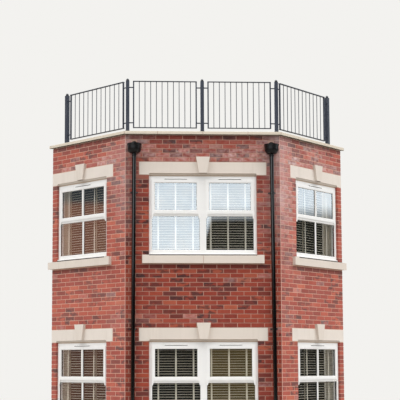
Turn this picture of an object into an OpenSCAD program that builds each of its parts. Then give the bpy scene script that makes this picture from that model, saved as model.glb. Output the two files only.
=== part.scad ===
// Two-storey canted bay window of a brick house, cut off at the back of the house wall.
// Millimetres, +Z up. The origin is on the ground, in the plane of the house's outer face,
// midway between the two canted sides. +X runs to the right and +Y runs into the house.

/* [Bay plan] */
// Width of the front face, corner to corner
face_w = 2600; // [2300:10:3400]
// Length of each canted face, from its corner to the house wall
cant_len = 1820; // [1700:10:2400]
// Angle between the front face and a canted face
cant_angle = 45; // [40:1:50]
// Width of the front window opening
front_open = 1810; // [1500:10:1900]
// Width of a canted window opening
cant_open = 1255; // [1000:5:1300]
// Width of brickwork between a canted opening and the house wall
wall_pier = 120; // [110:5:180]

/* [Heights] */
// Height of one brick course with its bed joint
course = 75; // [70:1:80]
// Courses from the ground to the lower window sill
lower_sill_courses = 12; // [9:1:14]
// Courses in the height of a window opening
opening_courses = 18; // [17:1:20]
// Courses from the lower lintel's top to the underside of the upper sill
spandrel_courses = 14; // [12:1:18]
// Courses from the upper lintel's top to the coping
parapet_courses = 6; // [6:1:9]
// Height of the ground floor above the ground
ground_floor_z = 150; // [75:25:300]
// Height of the first floor boards above the ground
first_floor_z = 2850; // [2800:25:3000]
// Depth of the balcony deck below the underside of the coping
deck_drop = 168; // [100:1:200]

/* [Walls] */
// Thickness of the brick leaf
brick_leaf_t = 103; // [100:1:110]
// Width of the cavity between the leaves
cavity = 85; // [60:5:120]
// Thickness of the plastered block leaf
block_leaf_t = 112; // [100:1:150]
// Width of blockwork that closes the cavity round an opening
closer = 60; // [40:5:75]

/* [Stonework] */
// Height of a lintel
lintel_h = 215; // [190:5:220]
// How far a lintel runs onto the brickwork beside the front opening
front_bearing = 160; // [100:10:180]
// How far a lintel runs onto the corner pier of a canted side
cant_bearing = 150; // [100:10:180]
// Radius of the hollow moulding under a lintel
cavetto_r = 26; // [20:1:38]
// Width of a keystone at its top
key_top_w = 230; // [180:5:280]
// Width of a keystone at its bottom
key_bottom_w = 134; // [100:2:160]
// How far a keystone stands forward of the brickwork
key_out = 45; // [20:1:60]
// How deep a keystone is let into the lintel
key_in = 38; // [20:1:60]
// Height of a sill
sill_h = 140; // [130:5:145]
// How far a sill stands forward of the brickwork
sill_out = 55; // [35:1:70]
// How far a sill runs past the side of its opening
sill_past = 110; // [60:5:120]
// Fall of the sloping top of a sill
sill_fall = 16; // [8:1:25]
// Width of the joint between two stones
stone_joint = 6; // [4:1:10]
// Radius of the drip grooves under the sills and the coping
drip_r = 6; // [4:1:10]
// Distance of a sill's drip groove from the face of the brickwork
drip_out = 33; // [15:1:40]

/* [Coping] */
// Thickness of the coping at its edges
coping_t = 55; // [45:1:75]
// How far the coping oversails the brickwork
coping_out = 45; // [30:1:60]
// How far the coping oversails the inside of the parapet
coping_in = 30; // [20:1:60]
// Length of one coping stone
coping_stone = 760; // [600:10:900]
// Distance from the house wall to the first joint of a canted coping
coping_first = 575; // [400:5:700]
// Size of the chamfered edges of the coping
coping_edge = 6; // [3:1:10]

/* [Windows] */
// Depth of the window frame behind the face of the brickwork
reveal = 40; // [34:1:60]
// Depth of the window frame from front to back
frame_d = 70; // [60:1:80]
// Gap between the window frame and the side of the opening
side_gap = 5; // [3:1:10]
// Gap between the window frame and the lintel
head_gap = 20; // [5:1:25]
// Width of a frame's side member
frame_side = 48; // [40:1:60]
// Height of a frame's head
frame_head = 65; // [50:1:75]
// Height of a frame's bottom member
frame_bottom = 55; // [45:1:65]
// Height of the projecting window cill
cill_h = 35; // [25:1:45]
// How far the window cill stands forward of the frame
cill_out = 28; // [15:1:30]
// Height of the transom between the upper and lower panes
transom_h = 50; // [45:1:65]
// Height of the lower pane
lower_pane_h = 566; // [450:1:600]
// Width of the mullion that couples the two front lights
mullion_w = 112; // [90:2:130]
// Width of a sash's side and top members
sash_w = 48; // [40:1:60]
// Height of a sash's bottom rail
sash_rail = 52; // [50:1:75]
// How far a sash laps over its frame
sash_lap = 8; // [6:1:12]
// How far a sash stands forward of its frame
sash_out = 14; // [10:1:20]
// Depth of a sash behind the front of its frame
sash_in = 46; // [40:1:55]
// Length of the sash horns below the bottom rail
horn_l = 82; // [60:1:100]
// Width of the glazing bar in the middle of a canted window
bar_w = 44; // [30:1:60]
// Thickness of a sealed glass unit
glass_t = 24; // [20:1:28]
// Size of the chamfer round the panes
bead = 9; // [5:1:12]
// Length of a trickle vent
vent_l = 390; // [300:10:450]
// Height of a trickle vent
vent_h = 20; // [16:1:24]
// How far a trickle vent stands forward of the frame
vent_out = 13; // [8:1:16]
// Thickness of a window board
board_t = 25; // [18:1:32]
// How far a window board stands into the room
board_nose = 35; // [20:1:60]

/* [Floors] */
// Depth of a joist
joist_h = 220; // [195:5:245]
// Thickness of a joist
joist_w = 47; // [38:1:63]
// Spacing of the joists, centre to centre
joist_gap = 400; // [350:10:600]
// Thickness of the floor boards
board_floor_t = 22; // [18:1:28]
// Thickness of a ceiling
ceiling_t = 15; // [12:1:25]
// Thickness of the balcony deck
deck_t = 80; // [60:5:120]

/* [Railing] */
// Depth of the railing's centre line behind the face of the brickwork
rail_in = 95; // [80:5:180]
// Height of the posts above the coping
post_h = 885; // [800:5:1100]
// Width of a square post
post_w = 60; // [50:1:80]
// Distance of an end post from the house wall, along the canted face
end_post = 265; // [220:5:400]
// Gap between a post and the panel beside it
panel_gap = 60; // [30:1:70]
// Width of a panel's end stile
stile_w = 22; // [16:1:30]
// Width of a panel's flat rails, front to back
flat_w = 40; // [25:1:50]
// Thickness of a panel's flat rails
flat_t = 10; // [8:1:14]
// Diameter of a panel's upright bars
bar_d = 12; // [10:1:16]
// Height of a panel's lower rail above the coping
low_rail_z = 80; // [60:1:110]
// How far a post's base plate runs past the post
plate_past = 22; // [15:1:30]
// Thickness of a post's base plate
plate_t = 8; // [6:1:12]
// Diameter of the round foot of a post cap
cap_d = 54; // [40:1:56]
// Diameter of the ball on a post cap
ball_d = 50; // [36:1:52]
// Height of a post cap
cap_h = 43; // [38:1:50]
// Height of the lugs that hold a panel to its posts
lug_h = 18; // [14:1:25]
// Thickness of the lugs
lug_t = 8; // [6:1:12]
// Number of bars in a front panel, between its stiles
front_bars = 10; // [8:1:12]
// Number of bars in a canted panel, between its stiles
cant_bars = 11; // [8:1:14]

/* [Rainwater] */
// Distance of a downpipe from the corner of the bay
pipe_in = 150; // [140:5:200]
// Outside diameter of a downpipe
pipe_d = 68; // [60:1:80]
// How far a downpipe's foot stands out of plumb, away from the middle of the bay
pipe_lean = 32; // [0:1:40]
// Gap between a downpipe and the brickwork
pipe_gap = 30; // [20:1:40]
// Diameter of a hopper's rim
hopper_d = 248; // [200:2:260]
// Height of a hopper above its spigot
hopper_h = 165; // [120:1:200]
// Height of the rim round a hopper
rim_h = 24; // [16:1:34]
// How far the rim stands out from the bowl
rim_out = 8; // [5:1:12]
// Depth of a hopper's bowl above its rounded bottom
bowl_side_h = 86; // [50:1:100]
// Diameter of the outlet that runs through the parapet
outlet_d = 95; // [80:1:110]
// Height of the middle pipe socket above the ground
socket_z = 2711; // [2500:1:2900]
// How far the outlet runs past the brickwork, over the hopper
outlet_out = 50; // [40:1:60]
// Height of the upper pipe clip above the ground
clip_z = 4705; // [4500:5:4900]
// Height of the lower pipe clip above the ground
low_clip_z = 944; // [600:1:1200]
// Distance of the middle pipe clip below its socket
clip_drop = 279; // [200:1:400]
// Height of a pipe clip
clip_h = 24; // [18:1:30]
// Thickness of a pipe clip
clip_t = 5; // [3:1:7]
// Length of a pipe clip's ears
ear_l = 28; // [20:1:35]

/* [Hidden] */

// Names of the three sides: left canted, front and right canted
LEFT = -1;
FRONT = 0;
RIGHT = 1;

brick = "#a5543f";
stone = "#e1d7c8";
upvc = "#f2f2f0";
glass = "#add8e6";
block = "#b9b4aa";
plaster = "#e8e4dc";
timber = "#b98f5a";
railing = "#4b5260";
black = "#1c1d20";
membrane = "#8b8f93";

wall_t = brick_leaf_t + cavity + block_leaf_t;
mitre = tan(cant_angle / 2);
cut_slope = 1 / tan(cant_angle);
projection = cant_len * sin(cant_angle);

opening_h = opening_courses * course;
lintel_courses = 3;
sill_courses = 2;
lower_sill_z = lower_sill_courses * course;
upper_sill_z = lower_sill_z + opening_h + (lintel_courses + spandrel_courses + sill_courses) * course;
sill_levels = [lower_sill_z, upper_sill_z];
coping_z = upper_sill_z + opening_h + (lintel_courses + parapet_courses) * course;
coping_top = coping_z + coping_t;
deck_z = coping_z - deck_drop;

// Where the house wall's cut end meets the inside of a canted wall, for the right side
pier_x = cant_len - wall_pier;
junction_x = face_w / 2 + cant_len * cos(cant_angle);
return_x = face_w / 2 + pier_x * cos(cant_angle) - wall_t * sin(cant_angle);
return_y = pier_x * sin(cant_angle) + wall_t * cos(cant_angle) - projection;
inner_x = face_w / 2 + (cant_len - wall_t * cut_slope) * cos(cant_angle) - wall_t * sin(cant_angle);
back_y = wall_t;

frame_h = opening_h - head_gap;
lower_pane_z = cill_h + frame_bottom;
sash_z = lower_pane_z + lower_pane_h + transom_h;
sash_top = frame_h - frame_head;
pane_top = sash_top - sash_w;
upper_pane_z = sash_z + sash_rail;

// Depth of the glass behind the front of a frame, in the lower light and in the sash
unit_y = 12;
sash_unit_y = 6;

pipe_x = face_w / 2 - pipe_in;
pipe_y = -projection - pipe_gap - pipe_d / 2;
hopper_z = deck_z;
lean_turn = atan(pipe_lean / hopper_z);
hopper_wall = 4;
spigot_wall = 4;
spigot_l = 40;
outlet_wall = 4;

// Extra depth that lets one solid cut cleanly through another
nudge = 1;

function run_len(side) = side == FRONT ? face_w : cant_len;
function end_slope(side) = side == FRONT ? mitre : cut_slope;
function open_x(side) = side == FRONT ? (face_w - front_open) / 2 : pier_x - cant_open;
function open_w(side) = side == FRONT ? front_open : cant_open;
function lights(side) = side == FRONT ? 2 : 1;
function stone_start(side, past) = open_x(side) - past;
function stone_end(side, past) = side == FRONT ? open_x(side) + open_w(side) + past : cant_len + wall_t;
function frame_w(side) = open_w(side) - 2 * side_gap;
function light_w(side) = (frame_w(side) - 2 * frame_side - (lights(side) - 1) * mullion_w) / lights(side);
function light_x(side, i) = frame_side + i * (light_w(side) + mullion_w);
function arc(cx, cz, r, a0, a1, n) = [for (i = [0 : n]) [cx + r * cos(a0 + (a1 - a0) * i / n),
                                                       cz + r * sin(a0 + (a1 - a0) * i / n)]];

// Places its children on one side of the bay: X along the face, Y inwards from the brick face
module on_side(side) {
    if (side == FRONT)
        translate([-face_w / 2, -projection, 0]) children();
    if (side == RIGHT)
        translate([face_w / 2, -projection, 0]) rotate([0, 0, cant_angle]) children();
    if (side == LEFT)
        mirror([1, 0, 0]) translate([face_w / 2, -projection, 0]) rotate([0, 0, cant_angle]) children();
}

// Stands a flat shape in X and Z upright, and gives it a depth from y0 to y1
module upright(y0, y1) {
    translate([0, y1, 0]) rotate([90, 0, 0]) linear_extrude(y1 - y0) children();
}

// Runs a section drawn in Y and Z along X, from x0 to x1
module along(x0, x1) {
    translate([x0, 0, 0]) rotate([90, 0, 90]) linear_extrude(x1 - x0) children();
}

// Part of a side's plan between two depths, mitred at the corners and cut at the house wall
module plan(side, y0, y1, mitre_gap = 0) {
    polygon([[y0 * mitre + mitre_gap, y0],
             [run_len(side) - y0 * end_slope(side) - (side == FRONT ? mitre_gap : 0), y0],
             [run_len(side) - y1 * end_slope(side) - (side == FRONT ? mitre_gap : 0), y1],
             [y1 * mitre + mitre_gap, y1]]);
}

module layer(side, y0, y1, z0, z1, mitre_gap = 0) {
    translate([0, 0, z0]) linear_extrude(z1 - z0) plan(side, y0, y1, mitre_gap);
}

module window_hole(side, sill_z) {
    translate([open_x(side), -nudge, sill_z]) cube([open_w(side), wall_t + 2 * nudge, opening_h]);
}

// Stonework

module lintel_seat(side, sill_z, bearing) {
    x0 = stone_start(side, bearing);
    translate([x0, -nudge, sill_z + opening_h])
        cube([stone_end(side, bearing) - x0, brick_leaf_t + 2 * nudge, lintel_h]);
}

module key_wedge(side, sill_z, y0, y1) {
    z0 = sill_z + opening_h + cavetto_r;
    z1 = sill_z + opening_h + (lintel_courses + 1) * course;
    x = open_x(side) + open_w(side) / 2;
    upright(y0, y1)
        polygon([[x - key_bottom_w / 2, z0], [x + key_bottom_w / 2, z0],
                 [x + key_top_w / 2, z1], [x - key_top_w / 2, z1]]);
}

module lintel(side, sill_z, bearing) {
    x0 = stone_start(side, bearing);
    z0 = sill_z + opening_h;
    stop_x = open_x(side) + cavetto_r;
    run = open_w(side) - 2 * cavetto_r;
    difference() {
        intersection() {
            layer(side, 0, brick_leaf_t, z0, z0 + lintel_h);
            translate([x0, 0, z0]) cube([stone_end(side, bearing) - x0, brick_leaf_t, lintel_h]);
        }
        key_wedge(side, sill_z, -nudge, key_in);
        translate([stop_x, 0, z0]) rotate([0, 90, 0]) cylinder(r = cavetto_r, h = run, $fn = 48);
        translate([stop_x, 0, z0]) sphere(r = cavetto_r, $fn = 48);
        translate([stop_x + run, 0, z0]) sphere(r = cavetto_r, $fn = 48);
    }
}

module sill_seat(side, sill_z) {
    x0 = stone_start(side, sill_past);
    translate([x0, -nudge, sill_z - sill_h])
        cube([stone_end(side, sill_past) - x0, brick_leaf_t + 2 * nudge, sill_h]);
}

module sill(side, sill_z) {
    x0 = stone_start(side, sill_past);
    x1 = stone_end(side, sill_past);
    middle = open_x(side) + open_w(side) / 2;
    drip_stop = 20;
    slope_start = reveal - 2;  // just forward of the window frame
    difference() {
        intersection() {
            layer(side, -sill_out, brick_leaf_t, sill_z - sill_h, sill_z);
            translate([x0, -sill_out, sill_z - sill_h])
                cube([x1 - x0, sill_out + brick_leaf_t, sill_h]);
        }
        // The sloping top runs between the two square stools under the jambs
        along(open_x(side), open_x(side) + open_w(side) + (side == FRONT ? 0 : wall_pier + sill_out))
            polygon([[slope_start, sill_z + nudge], [slope_start, sill_z],
                     [-sill_out - nudge, sill_z - sill_fall], [-sill_out - nudge, sill_z + nudge]]);
        // Drip groove under the nosing
        along(x0 + drip_stop, side == FRONT ? x1 - drip_stop : x1)
            translate([-drip_out, sill_z - sill_h]) circle(r = drip_r, $fn = 24);
        if (side == FRONT)
            translate([middle - stone_joint / 2, -sill_out - nudge, sill_z - sill_h - nudge])
                cube([stone_joint, sill_out + brick_leaf_t + 2 * nudge, sill_h + 2 * nudge]);
    }
}

module coping_section() {
    inner = wall_t + coping_in;
    lip = coping_edge;
    difference() {
        polygon([[-coping_out, lip], [-coping_out + lip, 0], [inner - lip, 0], [inner, lip],
                 [inner, coping_t - lip], [inner - lip, coping_t],
                 [-coping_out + lip, coping_t], [-coping_out, coping_t - lip]]);
        for (y = [-coping_out / 2, wall_t + coping_in / 2])
            translate([y, 0]) circle(r = drip_r, $fn = 24);
    }
}

// Where the joints of one side's coping lie, along its face
function coping_joints(side) = side == FRONT
    ? [for (i = [-1 : 1]) face_w / 2 + i * coping_stone]
    : [for (i = [0 : 1]) cant_len - coping_first - i * coping_stone];

module coping(side) {
    reach = wall_t + coping_out + coping_in;
    difference() {
        intersection() {
            layer(side, -coping_out, wall_t + coping_in, coping_z, coping_top, stone_joint / 2);
            translate([0, 0, coping_z]) along(-reach, run_len(side) + reach) coping_section();
        }
        for (x = coping_joints(side))
            translate([x - stone_joint / 2, -coping_out - nudge, coping_z - nudge])
                cube([stone_joint, reach + 2 * nudge, coping_t + 2 * nudge]);
    }
}

// Walls

// Holes through both leaves for the two outlets, which pass close to the mitred corners
module outlet_holes() {
    for (x = [-pipe_x, pipe_x])
        translate([x, -projection - nudge, deck_z])
            rotate([-90, 0, 0]) cylinder(d = outlet_d, h = wall_t + 2 * nudge, $fn = 48);
}

module brick_wall(side) {
    bearing = side == FRONT ? front_bearing : cant_bearing;
    difference() {
        on_side(side) difference() {
            layer(side, 0, brick_leaf_t, 0, coping_z);
            for (sill_z = sill_levels) {
                window_hole(side, sill_z);
                sill_seat(side, sill_z);
                lintel_seat(side, sill_z, bearing);
                key_wedge(side, sill_z, -nudge, key_in);
            }
        }
        outlet_holes();
    }
}

// The cavity: open from the ground up to the closing course under the coping, apart from the
// blockwork that is returned to close it round each opening
module cavity_space(side) {
    past = 2 * wall_t;
    difference() {
        translate([-past, brick_leaf_t - nudge, -nudge])
            cube([run_len(side) + 2 * past, cavity + nudge, coping_z - closer + nudge]);
        for (sill_z = sill_levels)
            translate([open_x(side) - closer, brick_leaf_t - 2 * nudge, sill_z - closer])
                cube([open_w(side) + 2 * closer, cavity + 3 * nudge, opening_h + 2 * closer]);
    }
}

// The block leaf, one mitred wall behind the brickwork with the cavity taken out of it
module block_wall(side) {
    difference() {
        on_side(side) difference() {
            layer(side, brick_leaf_t, wall_t, 0, coping_z);
            cavity_space(side);
            for (sill_z = sill_levels)
                window_hole(side, sill_z);
        }
        outlet_holes();
    }
}

// The cut end of the house wall that a canted side is bonded into
module return_pier(side) {
    difference() {
        mirror([side == LEFT ? 1 : 0, 0, 0])
            linear_extrude(coping_z)
                polygon([[junction_x, 0], [junction_x, back_y], [return_x, back_y],
                         [return_x, return_y], [inner_x, 0]]);
        on_side(side)
            for (sill_z = sill_levels)
                window_hole(side, sill_z);
    }
}

// Floors

module room_plan() {
    front_x = face_w / 2 - wall_t * mitre;
    polygon([[-front_x, wall_t - projection], [front_x, wall_t - projection],
             [return_x, return_y], [return_x, back_y],
             [-return_x, back_y], [-return_x, return_y]]);
}

module room_slab(z, t) {
    translate([0, 0, z]) linear_extrude(t) room_plan();
}

module joists(z) {
    intersection() {
        room_slab(z, joist_h);
        for (y = [back_y - joist_w : -joist_gap : wall_t - projection + joist_w])
            translate([-return_x, y, z]) cube([2 * return_x, joist_w, joist_h]);
    }
}

// Windows

// Cuts a chamfer round the front edge of a pane
module bead_cut(x, z, w, h, y) {
    for (side_x = [x, x + w])
        translate([side_x, y, z - bead]) linear_extrude(h + 2 * bead)
            polygon([[-bead, 0], [0, -bead], [bead, 0], [0, bead]]);
    for (side_z = [z, z + h])
        translate([0, y, side_z])
            along(x - bead, x + w + bead) polygon([[0, -bead], [bead, 0], [0, bead], [-bead, 0]]);
}

module pane_hole(x, z, w, h, y) {
    translate([x, y - nudge, z]) cube([w, frame_d + sash_out + 2 * nudge, h]);
    bead_cut(x, z, w, h, y);
}

// Upright glazing bar that stands forward of the glass, with splayed edges
module glazing_bar(x, y0, y1, z0, z1) {
    translate([x, 0, z0]) linear_extrude(z1 - z0)
        polygon([[-bar_w / 2, y1], [-bar_w / 2, y0 + bead], [-bar_w / 2 + bead, y0],
                 [bar_w / 2 - bead, y0], [bar_w / 2, y0 + bead], [bar_w / 2, y1]]);
}

// Trickle vent centred at x and z: a box with a hood that slopes back at its top
module trickle_vent(x, z) {
    hood = 5;
    low = z - vent_h / 2;
    high = z + vent_h / 2;
    along(x - vent_l / 2, x + vent_l / 2)
        polygon([[0, low], [-vent_out, low], [-vent_out, z], [-vent_out + hood, high], [0, high]]);
}

// Frame of one window: X across the opening, Y back from the frame's front, Z up from the stone sill
module window_frame(side) {
    cill_fall = 12;
    vent_drop = 4;
    groove = 4;
    w = frame_w(side);
    lw = light_w(side);
    difference() {
        union() {
            cube([w, frame_d, frame_h]);
            along(0, w) polygon([[0, 0], [-cill_out, 0], [-cill_out, cill_h - cill_fall], [0, cill_h]]);
            for (i = [0 : lights(side) - 1])
                trickle_vent(light_x(side, i) + lw / 2, frame_h - frame_head / 2 - vent_drop);
        }
        for (i = [0 : lights(side) - 1]) {
            pane_hole(light_x(side, i), lower_pane_z, lw, lower_pane_h, 0);
            translate([light_x(side, i), -nudge, sash_z])
                cube([lw, frame_d + 2 * nudge, sash_top - sash_z]);
        }
        // Shadow line where the two lights are coupled
        if (side == FRONT)
            translate([(w - groove) / 2, -nudge, cill_h + groove])
                cube([groove, groove + nudge, frame_h - cill_h]);
    }
    if (side != FRONT)
        glazing_bar(w / 2, 1, unit_y + glass_t / 2, lower_pane_z, lower_pane_z + lower_pane_h);
}

// Half of a pair of sash horns: hollow under the rail, then a swelling curve down to a narrow tip
function horn_outline() =
    let (root = sash_w + sash_lap, waist = root / 2, tip = 9, hollow = root - waist, steps = 7)
    concat([[0, nudge], [root, nudge], [root, 0]],
           arc(root, -hollow, hollow, 90, 180, steps),
           [for (i = [1 : steps]) let (a = 90 * i / steps)
               [waist - (waist - tip) * (1 - cos(a)), -hollow - (horn_l - hollow) * sin(a)]],
           [[0, -horn_l]]);

module sash_horn() {
    upright(-sash_out, 0) polygon(horn_outline());
}

// Upper sash of one light, with its run-through horns, in its frame's directions
module sash(side, i) {
    x = light_x(side, i);
    w = light_w(side);
    h = sash_top - sash_z;
    pane_w = w - 2 * sash_w;
    fit = 2;
    difference() {
        union() {
            translate([x - sash_lap, -sash_out, sash_z - sash_lap])
                cube([w + 2 * sash_lap, sash_out, h + 2 * sash_lap]);
            translate([x + fit, -nudge, sash_z + fit]) cube([w - 2 * fit, sash_in + nudge, h - 2 * fit]);
            translate([x - sash_lap, 0, sash_z - sash_lap]) sash_horn();
            translate([x + w + sash_lap, 0, sash_z - sash_lap]) mirror([1, 0, 0]) sash_horn();
        }
        pane_hole(x + sash_w, upper_pane_z, pane_w, pane_top - upper_pane_z, -sash_out);
    }
    if (side != FRONT)
        glazing_bar(x + w / 2, -sash_out + 1, sash_unit_y, upper_pane_z, pane_top);
}

module glass_units(side) {
    for (i = [0 : lights(side) - 1]) {
        x = light_x(side, i);
        w = light_w(side);
        back = unit_y + glass_t;
        difference() {
            translate([x, unit_y, lower_pane_z]) cube([w, glass_t, lower_pane_h]);
            if (side != FRONT)
                translate([frame_w(side) / 2 - bar_w / 2, 0, lower_pane_z - nudge])
                    cube([bar_w, unit_y + glass_t / 2, lower_pane_h + 2 * nudge]);
        }
        translate([x + sash_w, sash_unit_y, upper_pane_z])
            cube([w - 2 * sash_w, glass_t, pane_top - upper_pane_z]);
    }
}

module in_opening(side, sill_z) {
    on_side(side) translate([open_x(side) + side_gap, reveal, sill_z]) children();
}

module storey_sashes(sill_z) {
    for (side = [LEFT, FRONT, RIGHT])
        for (i = [0 : lights(side) - 1])
            in_opening(side, sill_z) sash(side, i);
}

module storey_glass(sill_z) {
    for (side = [LEFT, FRONT, RIGHT])
        in_opening(side, sill_z) glass_units(side);
}

module window_board(side, sill_z) {
    back = reveal + frame_d;
    nose = wall_t + board_nose;
    edge = 4;
    on_side(side) translate([open_x(side), 0, sill_z])
        along(0, open_w(side))
            polygon([[back, 0], [nose - edge, 0], [nose, edge],
                     [nose, board_t - edge], [nose - edge, board_t], [back, board_t]]);
}

// Railing

front_posts = [rail_in * mitre, face_w / 2, face_w - rail_in * mitre];

module post() {
    plate = post_w + 2 * plate_past;
    translate([-plate / 2, -plate / 2, coping_top]) cube([plate, plate, plate_t]);
    translate([-post_w / 2, -post_w / 2, coping_top]) cube([post_w, post_w, post_h]);
}

module post_cap() {
    foot_h = 6;
    ball_r = ball_d / 2;
    neck = 25;
    ball_z = cap_h - ball_r;
    translate([0, 0, coping_top + post_h])
        rotate_extrude($fn = 32)
            polygon(concat([[0, 0], [cap_d / 2, 0], [cap_d / 2, foot_h]],
                           arc(0, ball_z, ball_r, -neck, 90, 8)));
}

module at_posts() {
    for (x = front_posts)
        on_side(FRONT) translate([x, rail_in, 0]) children();
    for (side = [LEFT, RIGHT])
        on_side(side) translate([cant_len - end_post, rail_in, 0]) children();
}

// One welded panel between posts centred at x0 and x1
module rail_panel(x0, x1, bars) {
    z0 = coping_top + low_rail_z;
    z1 = coping_top + post_h;
    outer = post_w / 2 + panel_gap;
    a = x0 + outer;
    b = x1 - outer;
    step = (b - a - stile_w) / (bars + 1);
    translate([0, rail_in, 0]) {
        for (x = [a, b - stile_w])
            translate([x, -stile_w / 2, z0]) cube([stile_w, stile_w, z1 - z0]);
        for (z = [z0, z1 - flat_t])
            translate([a, -flat_w / 2, z]) cube([b - a, flat_w, flat_t]);
        for (i = [1 : bars])
            translate([a + stile_w / 2 + i * step, 0, z0 + flat_t / 2])
                cylinder(d = bar_d, h = z1 - z0 - flat_t, $fn = 16);
        for (x = [a - panel_gap, b - nudge])
            for (z = [z0 + panel_gap + lug_h, z1 - 2 * panel_gap])
                translate([x, -lug_t / 2, z]) cube([panel_gap + nudge, lug_t, lug_h]);
    }
}

// Rainwater goods

module hopper_profile(r, floor_z, wall) {
    neck = pipe_d / 2 + spigot_wall - wall;
    bowl_r = r - rim_out;
    turns = 8;
    polygon(concat([[0, 0], [r, 0], [r, -rim_h], [bowl_r, -rim_h - rim_out]],
                   [for (i = [0 : turns]) let (t = 90 * i / turns)
                       [neck + (bowl_r - neck) * cos(t), -bowl_side_h - (floor_z - bowl_side_h) * sin(t)]],
                   [[0, -floor_z]]));
}

module hopper() {
    translate([0, pipe_y, hopper_z]) difference() {
        intersection() {
            union() {
                rotate_extrude($fn = 64) hopper_profile(hopper_d / 2, hopper_h, 0);
                translate([0, 0, -hopper_h - spigot_l])
                    cylinder(d = pipe_d + 2 * spigot_wall, h = spigot_l + nudge, $fn = 48);
            }
            translate([-hopper_d, -hopper_d, -hopper_h - spigot_l])
                cube([2 * hopper_d, hopper_d + pipe_gap + pipe_d / 2, hopper_h + spigot_l]);
        }
        intersection() {
            translate([0, 0, nudge]) rotate_extrude($fn = 64)
                hopper_profile(hopper_d / 2 - hopper_wall, hopper_h - hopper_wall + nudge, hopper_wall);
            translate([-hopper_d, -hopper_d, -hopper_h])
                cube([2 * hopper_d, hopper_d + pipe_gap + pipe_d / 2 - hopper_wall, hopper_h + 2 * nudge]);
        }
        translate([0, 0, -hopper_h - spigot_l - nudge])
            cylinder(d = pipe_d, h = spigot_l + hopper_wall + 3 * nudge, $fn = 48);
        rotate([-90, 0, 0]) cylinder(d = outlet_d, h = hopper_d, $fn = 48);
    }
}

module outlet_pipe() {
    length = outlet_out + wall_t;
    translate([0, -projection - outlet_out, deck_z]) rotate([-90, 0, 0]) difference() {
        cylinder(d = outlet_d, h = length, $fn = 48);
        translate([0, 0, -nudge])
            cylinder(d = outlet_d - 2 * outlet_wall, h = length + 2 * nudge, $fn = 48);
    }
}

// One downpipe, with the collar and the bead of its socket
module downpipe() {
    top = hopper_z - hopper_h;
    root = pipe_d / 2 - 2;
    collar = pipe_d / 2 + 3;
    bead_r = pipe_d / 2 + 6;
    socket_h = 68;
    bead_h = 12;
    translate([0, pipe_y, 0]) {
        translate([0, 0, -nudge]) cylinder(d = pipe_d, h = top + nudge, $fn = 48);
        translate([0, 0, socket_z - socket_h / 2])
            rotate_extrude($fn = 48)
                polygon([[root, 0], [collar, 4], [collar, socket_h - bead_h],
                         [bead_r, socket_h - bead_h + 2], [bead_r, socket_h], [root, socket_h]]);
    }
}

module pipe_clip(z) {
    reach = pipe_gap + pipe_d / 2;
    translate([0, pipe_y, z]) difference() {
        union() {
            cylinder(d = pipe_d + 2 * clip_t, h = clip_h, $fn = 48);
            translate([-pipe_d / 2, 0, 0]) cube([pipe_d, reach, clip_h]);
            translate([-pipe_d / 2 - ear_l, reach - clip_t, 0])
                cube([pipe_d + 2 * ear_l, clip_t, clip_h]);
        }
        translate([0, 0, -nudge]) cylinder(d = pipe_d, h = clip_h + 2 * nudge, $fn = 48);
    }
}

// Places its children on both pipes, turned out of plumb about the hoppers' outlets
module both_pipes() {
    for (way = [-1, 1])
        translate([way * pipe_x, 0, hopper_z]) rotate([0, -way * lean_turn, 0])
            translate([0, 0, -hopper_z]) children();
}

// Named pieces

module front_wall() { color(brick) brick_wall(FRONT); }
module left_wall() { color(brick) brick_wall(LEFT); }
module right_wall() { color(brick) brick_wall(RIGHT); }
module front_inner_leaf() { color(block) block_wall(FRONT); }
module left_inner_leaf() { color(block) block_wall(LEFT); }
module right_inner_leaf() { color(block) block_wall(RIGHT); }
module left_return() { color(brick) return_pier(LEFT); }
module right_return() { color(brick) return_pier(RIGHT); }

module side_lintels(side, bearing) {
    color(stone) on_side(side)
        for (sill_z = sill_levels)
            lintel(side, sill_z, bearing);
}

module front_lintels() { side_lintels(FRONT, front_bearing); }
module left_lintels() { side_lintels(LEFT, cant_bearing); }
module right_lintels() { side_lintels(RIGHT, cant_bearing); }

module keystones() {
    color(stone)
        for (side = [LEFT, FRONT, RIGHT])
            on_side(side)
                for (sill_z = sill_levels)
                    key_wedge(side, sill_z, -key_out, key_in);
}

module side_sills(side) {
    color(stone) on_side(side)
        for (sill_z = sill_levels)
            sill(side, sill_z);
}

module front_sills() { side_sills(FRONT); }
module left_sills() { side_sills(LEFT); }
module right_sills() { side_sills(RIGHT); }

module lower_front_frame() { color(upvc) in_opening(FRONT, lower_sill_z) window_frame(FRONT); }
module lower_left_frame() { color(upvc) in_opening(LEFT, lower_sill_z) window_frame(LEFT); }
module lower_right_frame() { color(upvc) in_opening(RIGHT, lower_sill_z) window_frame(RIGHT); }
module upper_front_frame() { color(upvc) in_opening(FRONT, upper_sill_z) window_frame(FRONT); }
module upper_left_frame() { color(upvc) in_opening(LEFT, upper_sill_z) window_frame(LEFT); }
module upper_right_frame() { color(upvc) in_opening(RIGHT, upper_sill_z) window_frame(RIGHT); }
module lower_sashes() { color(upvc) storey_sashes(lower_sill_z); }
module upper_sashes() { color(upvc) storey_sashes(upper_sill_z); }
module lower_glass() { color(glass, 0.4) storey_glass(lower_sill_z); }
module upper_glass() { color(glass, 0.4) storey_glass(upper_sill_z); }

module window_boards() {
    color(upvc)
        for (side = [LEFT, FRONT, RIGHT])
            for (sill_z = sill_levels)
                window_board(side, sill_z);
}

module ground_floor() { color(block) room_slab(0, ground_floor_z); }
module first_floor_joists() { color(timber) joists(first_floor_z - board_floor_t - joist_h); }
module first_floor_boards() { color(timber) room_slab(first_floor_z - board_floor_t, board_floor_t); }
module roof_joists() { color(timber) joists(deck_z - deck_t - joist_h); }
module balcony_deck() { color(membrane) room_slab(deck_z - deck_t, deck_t); }

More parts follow.
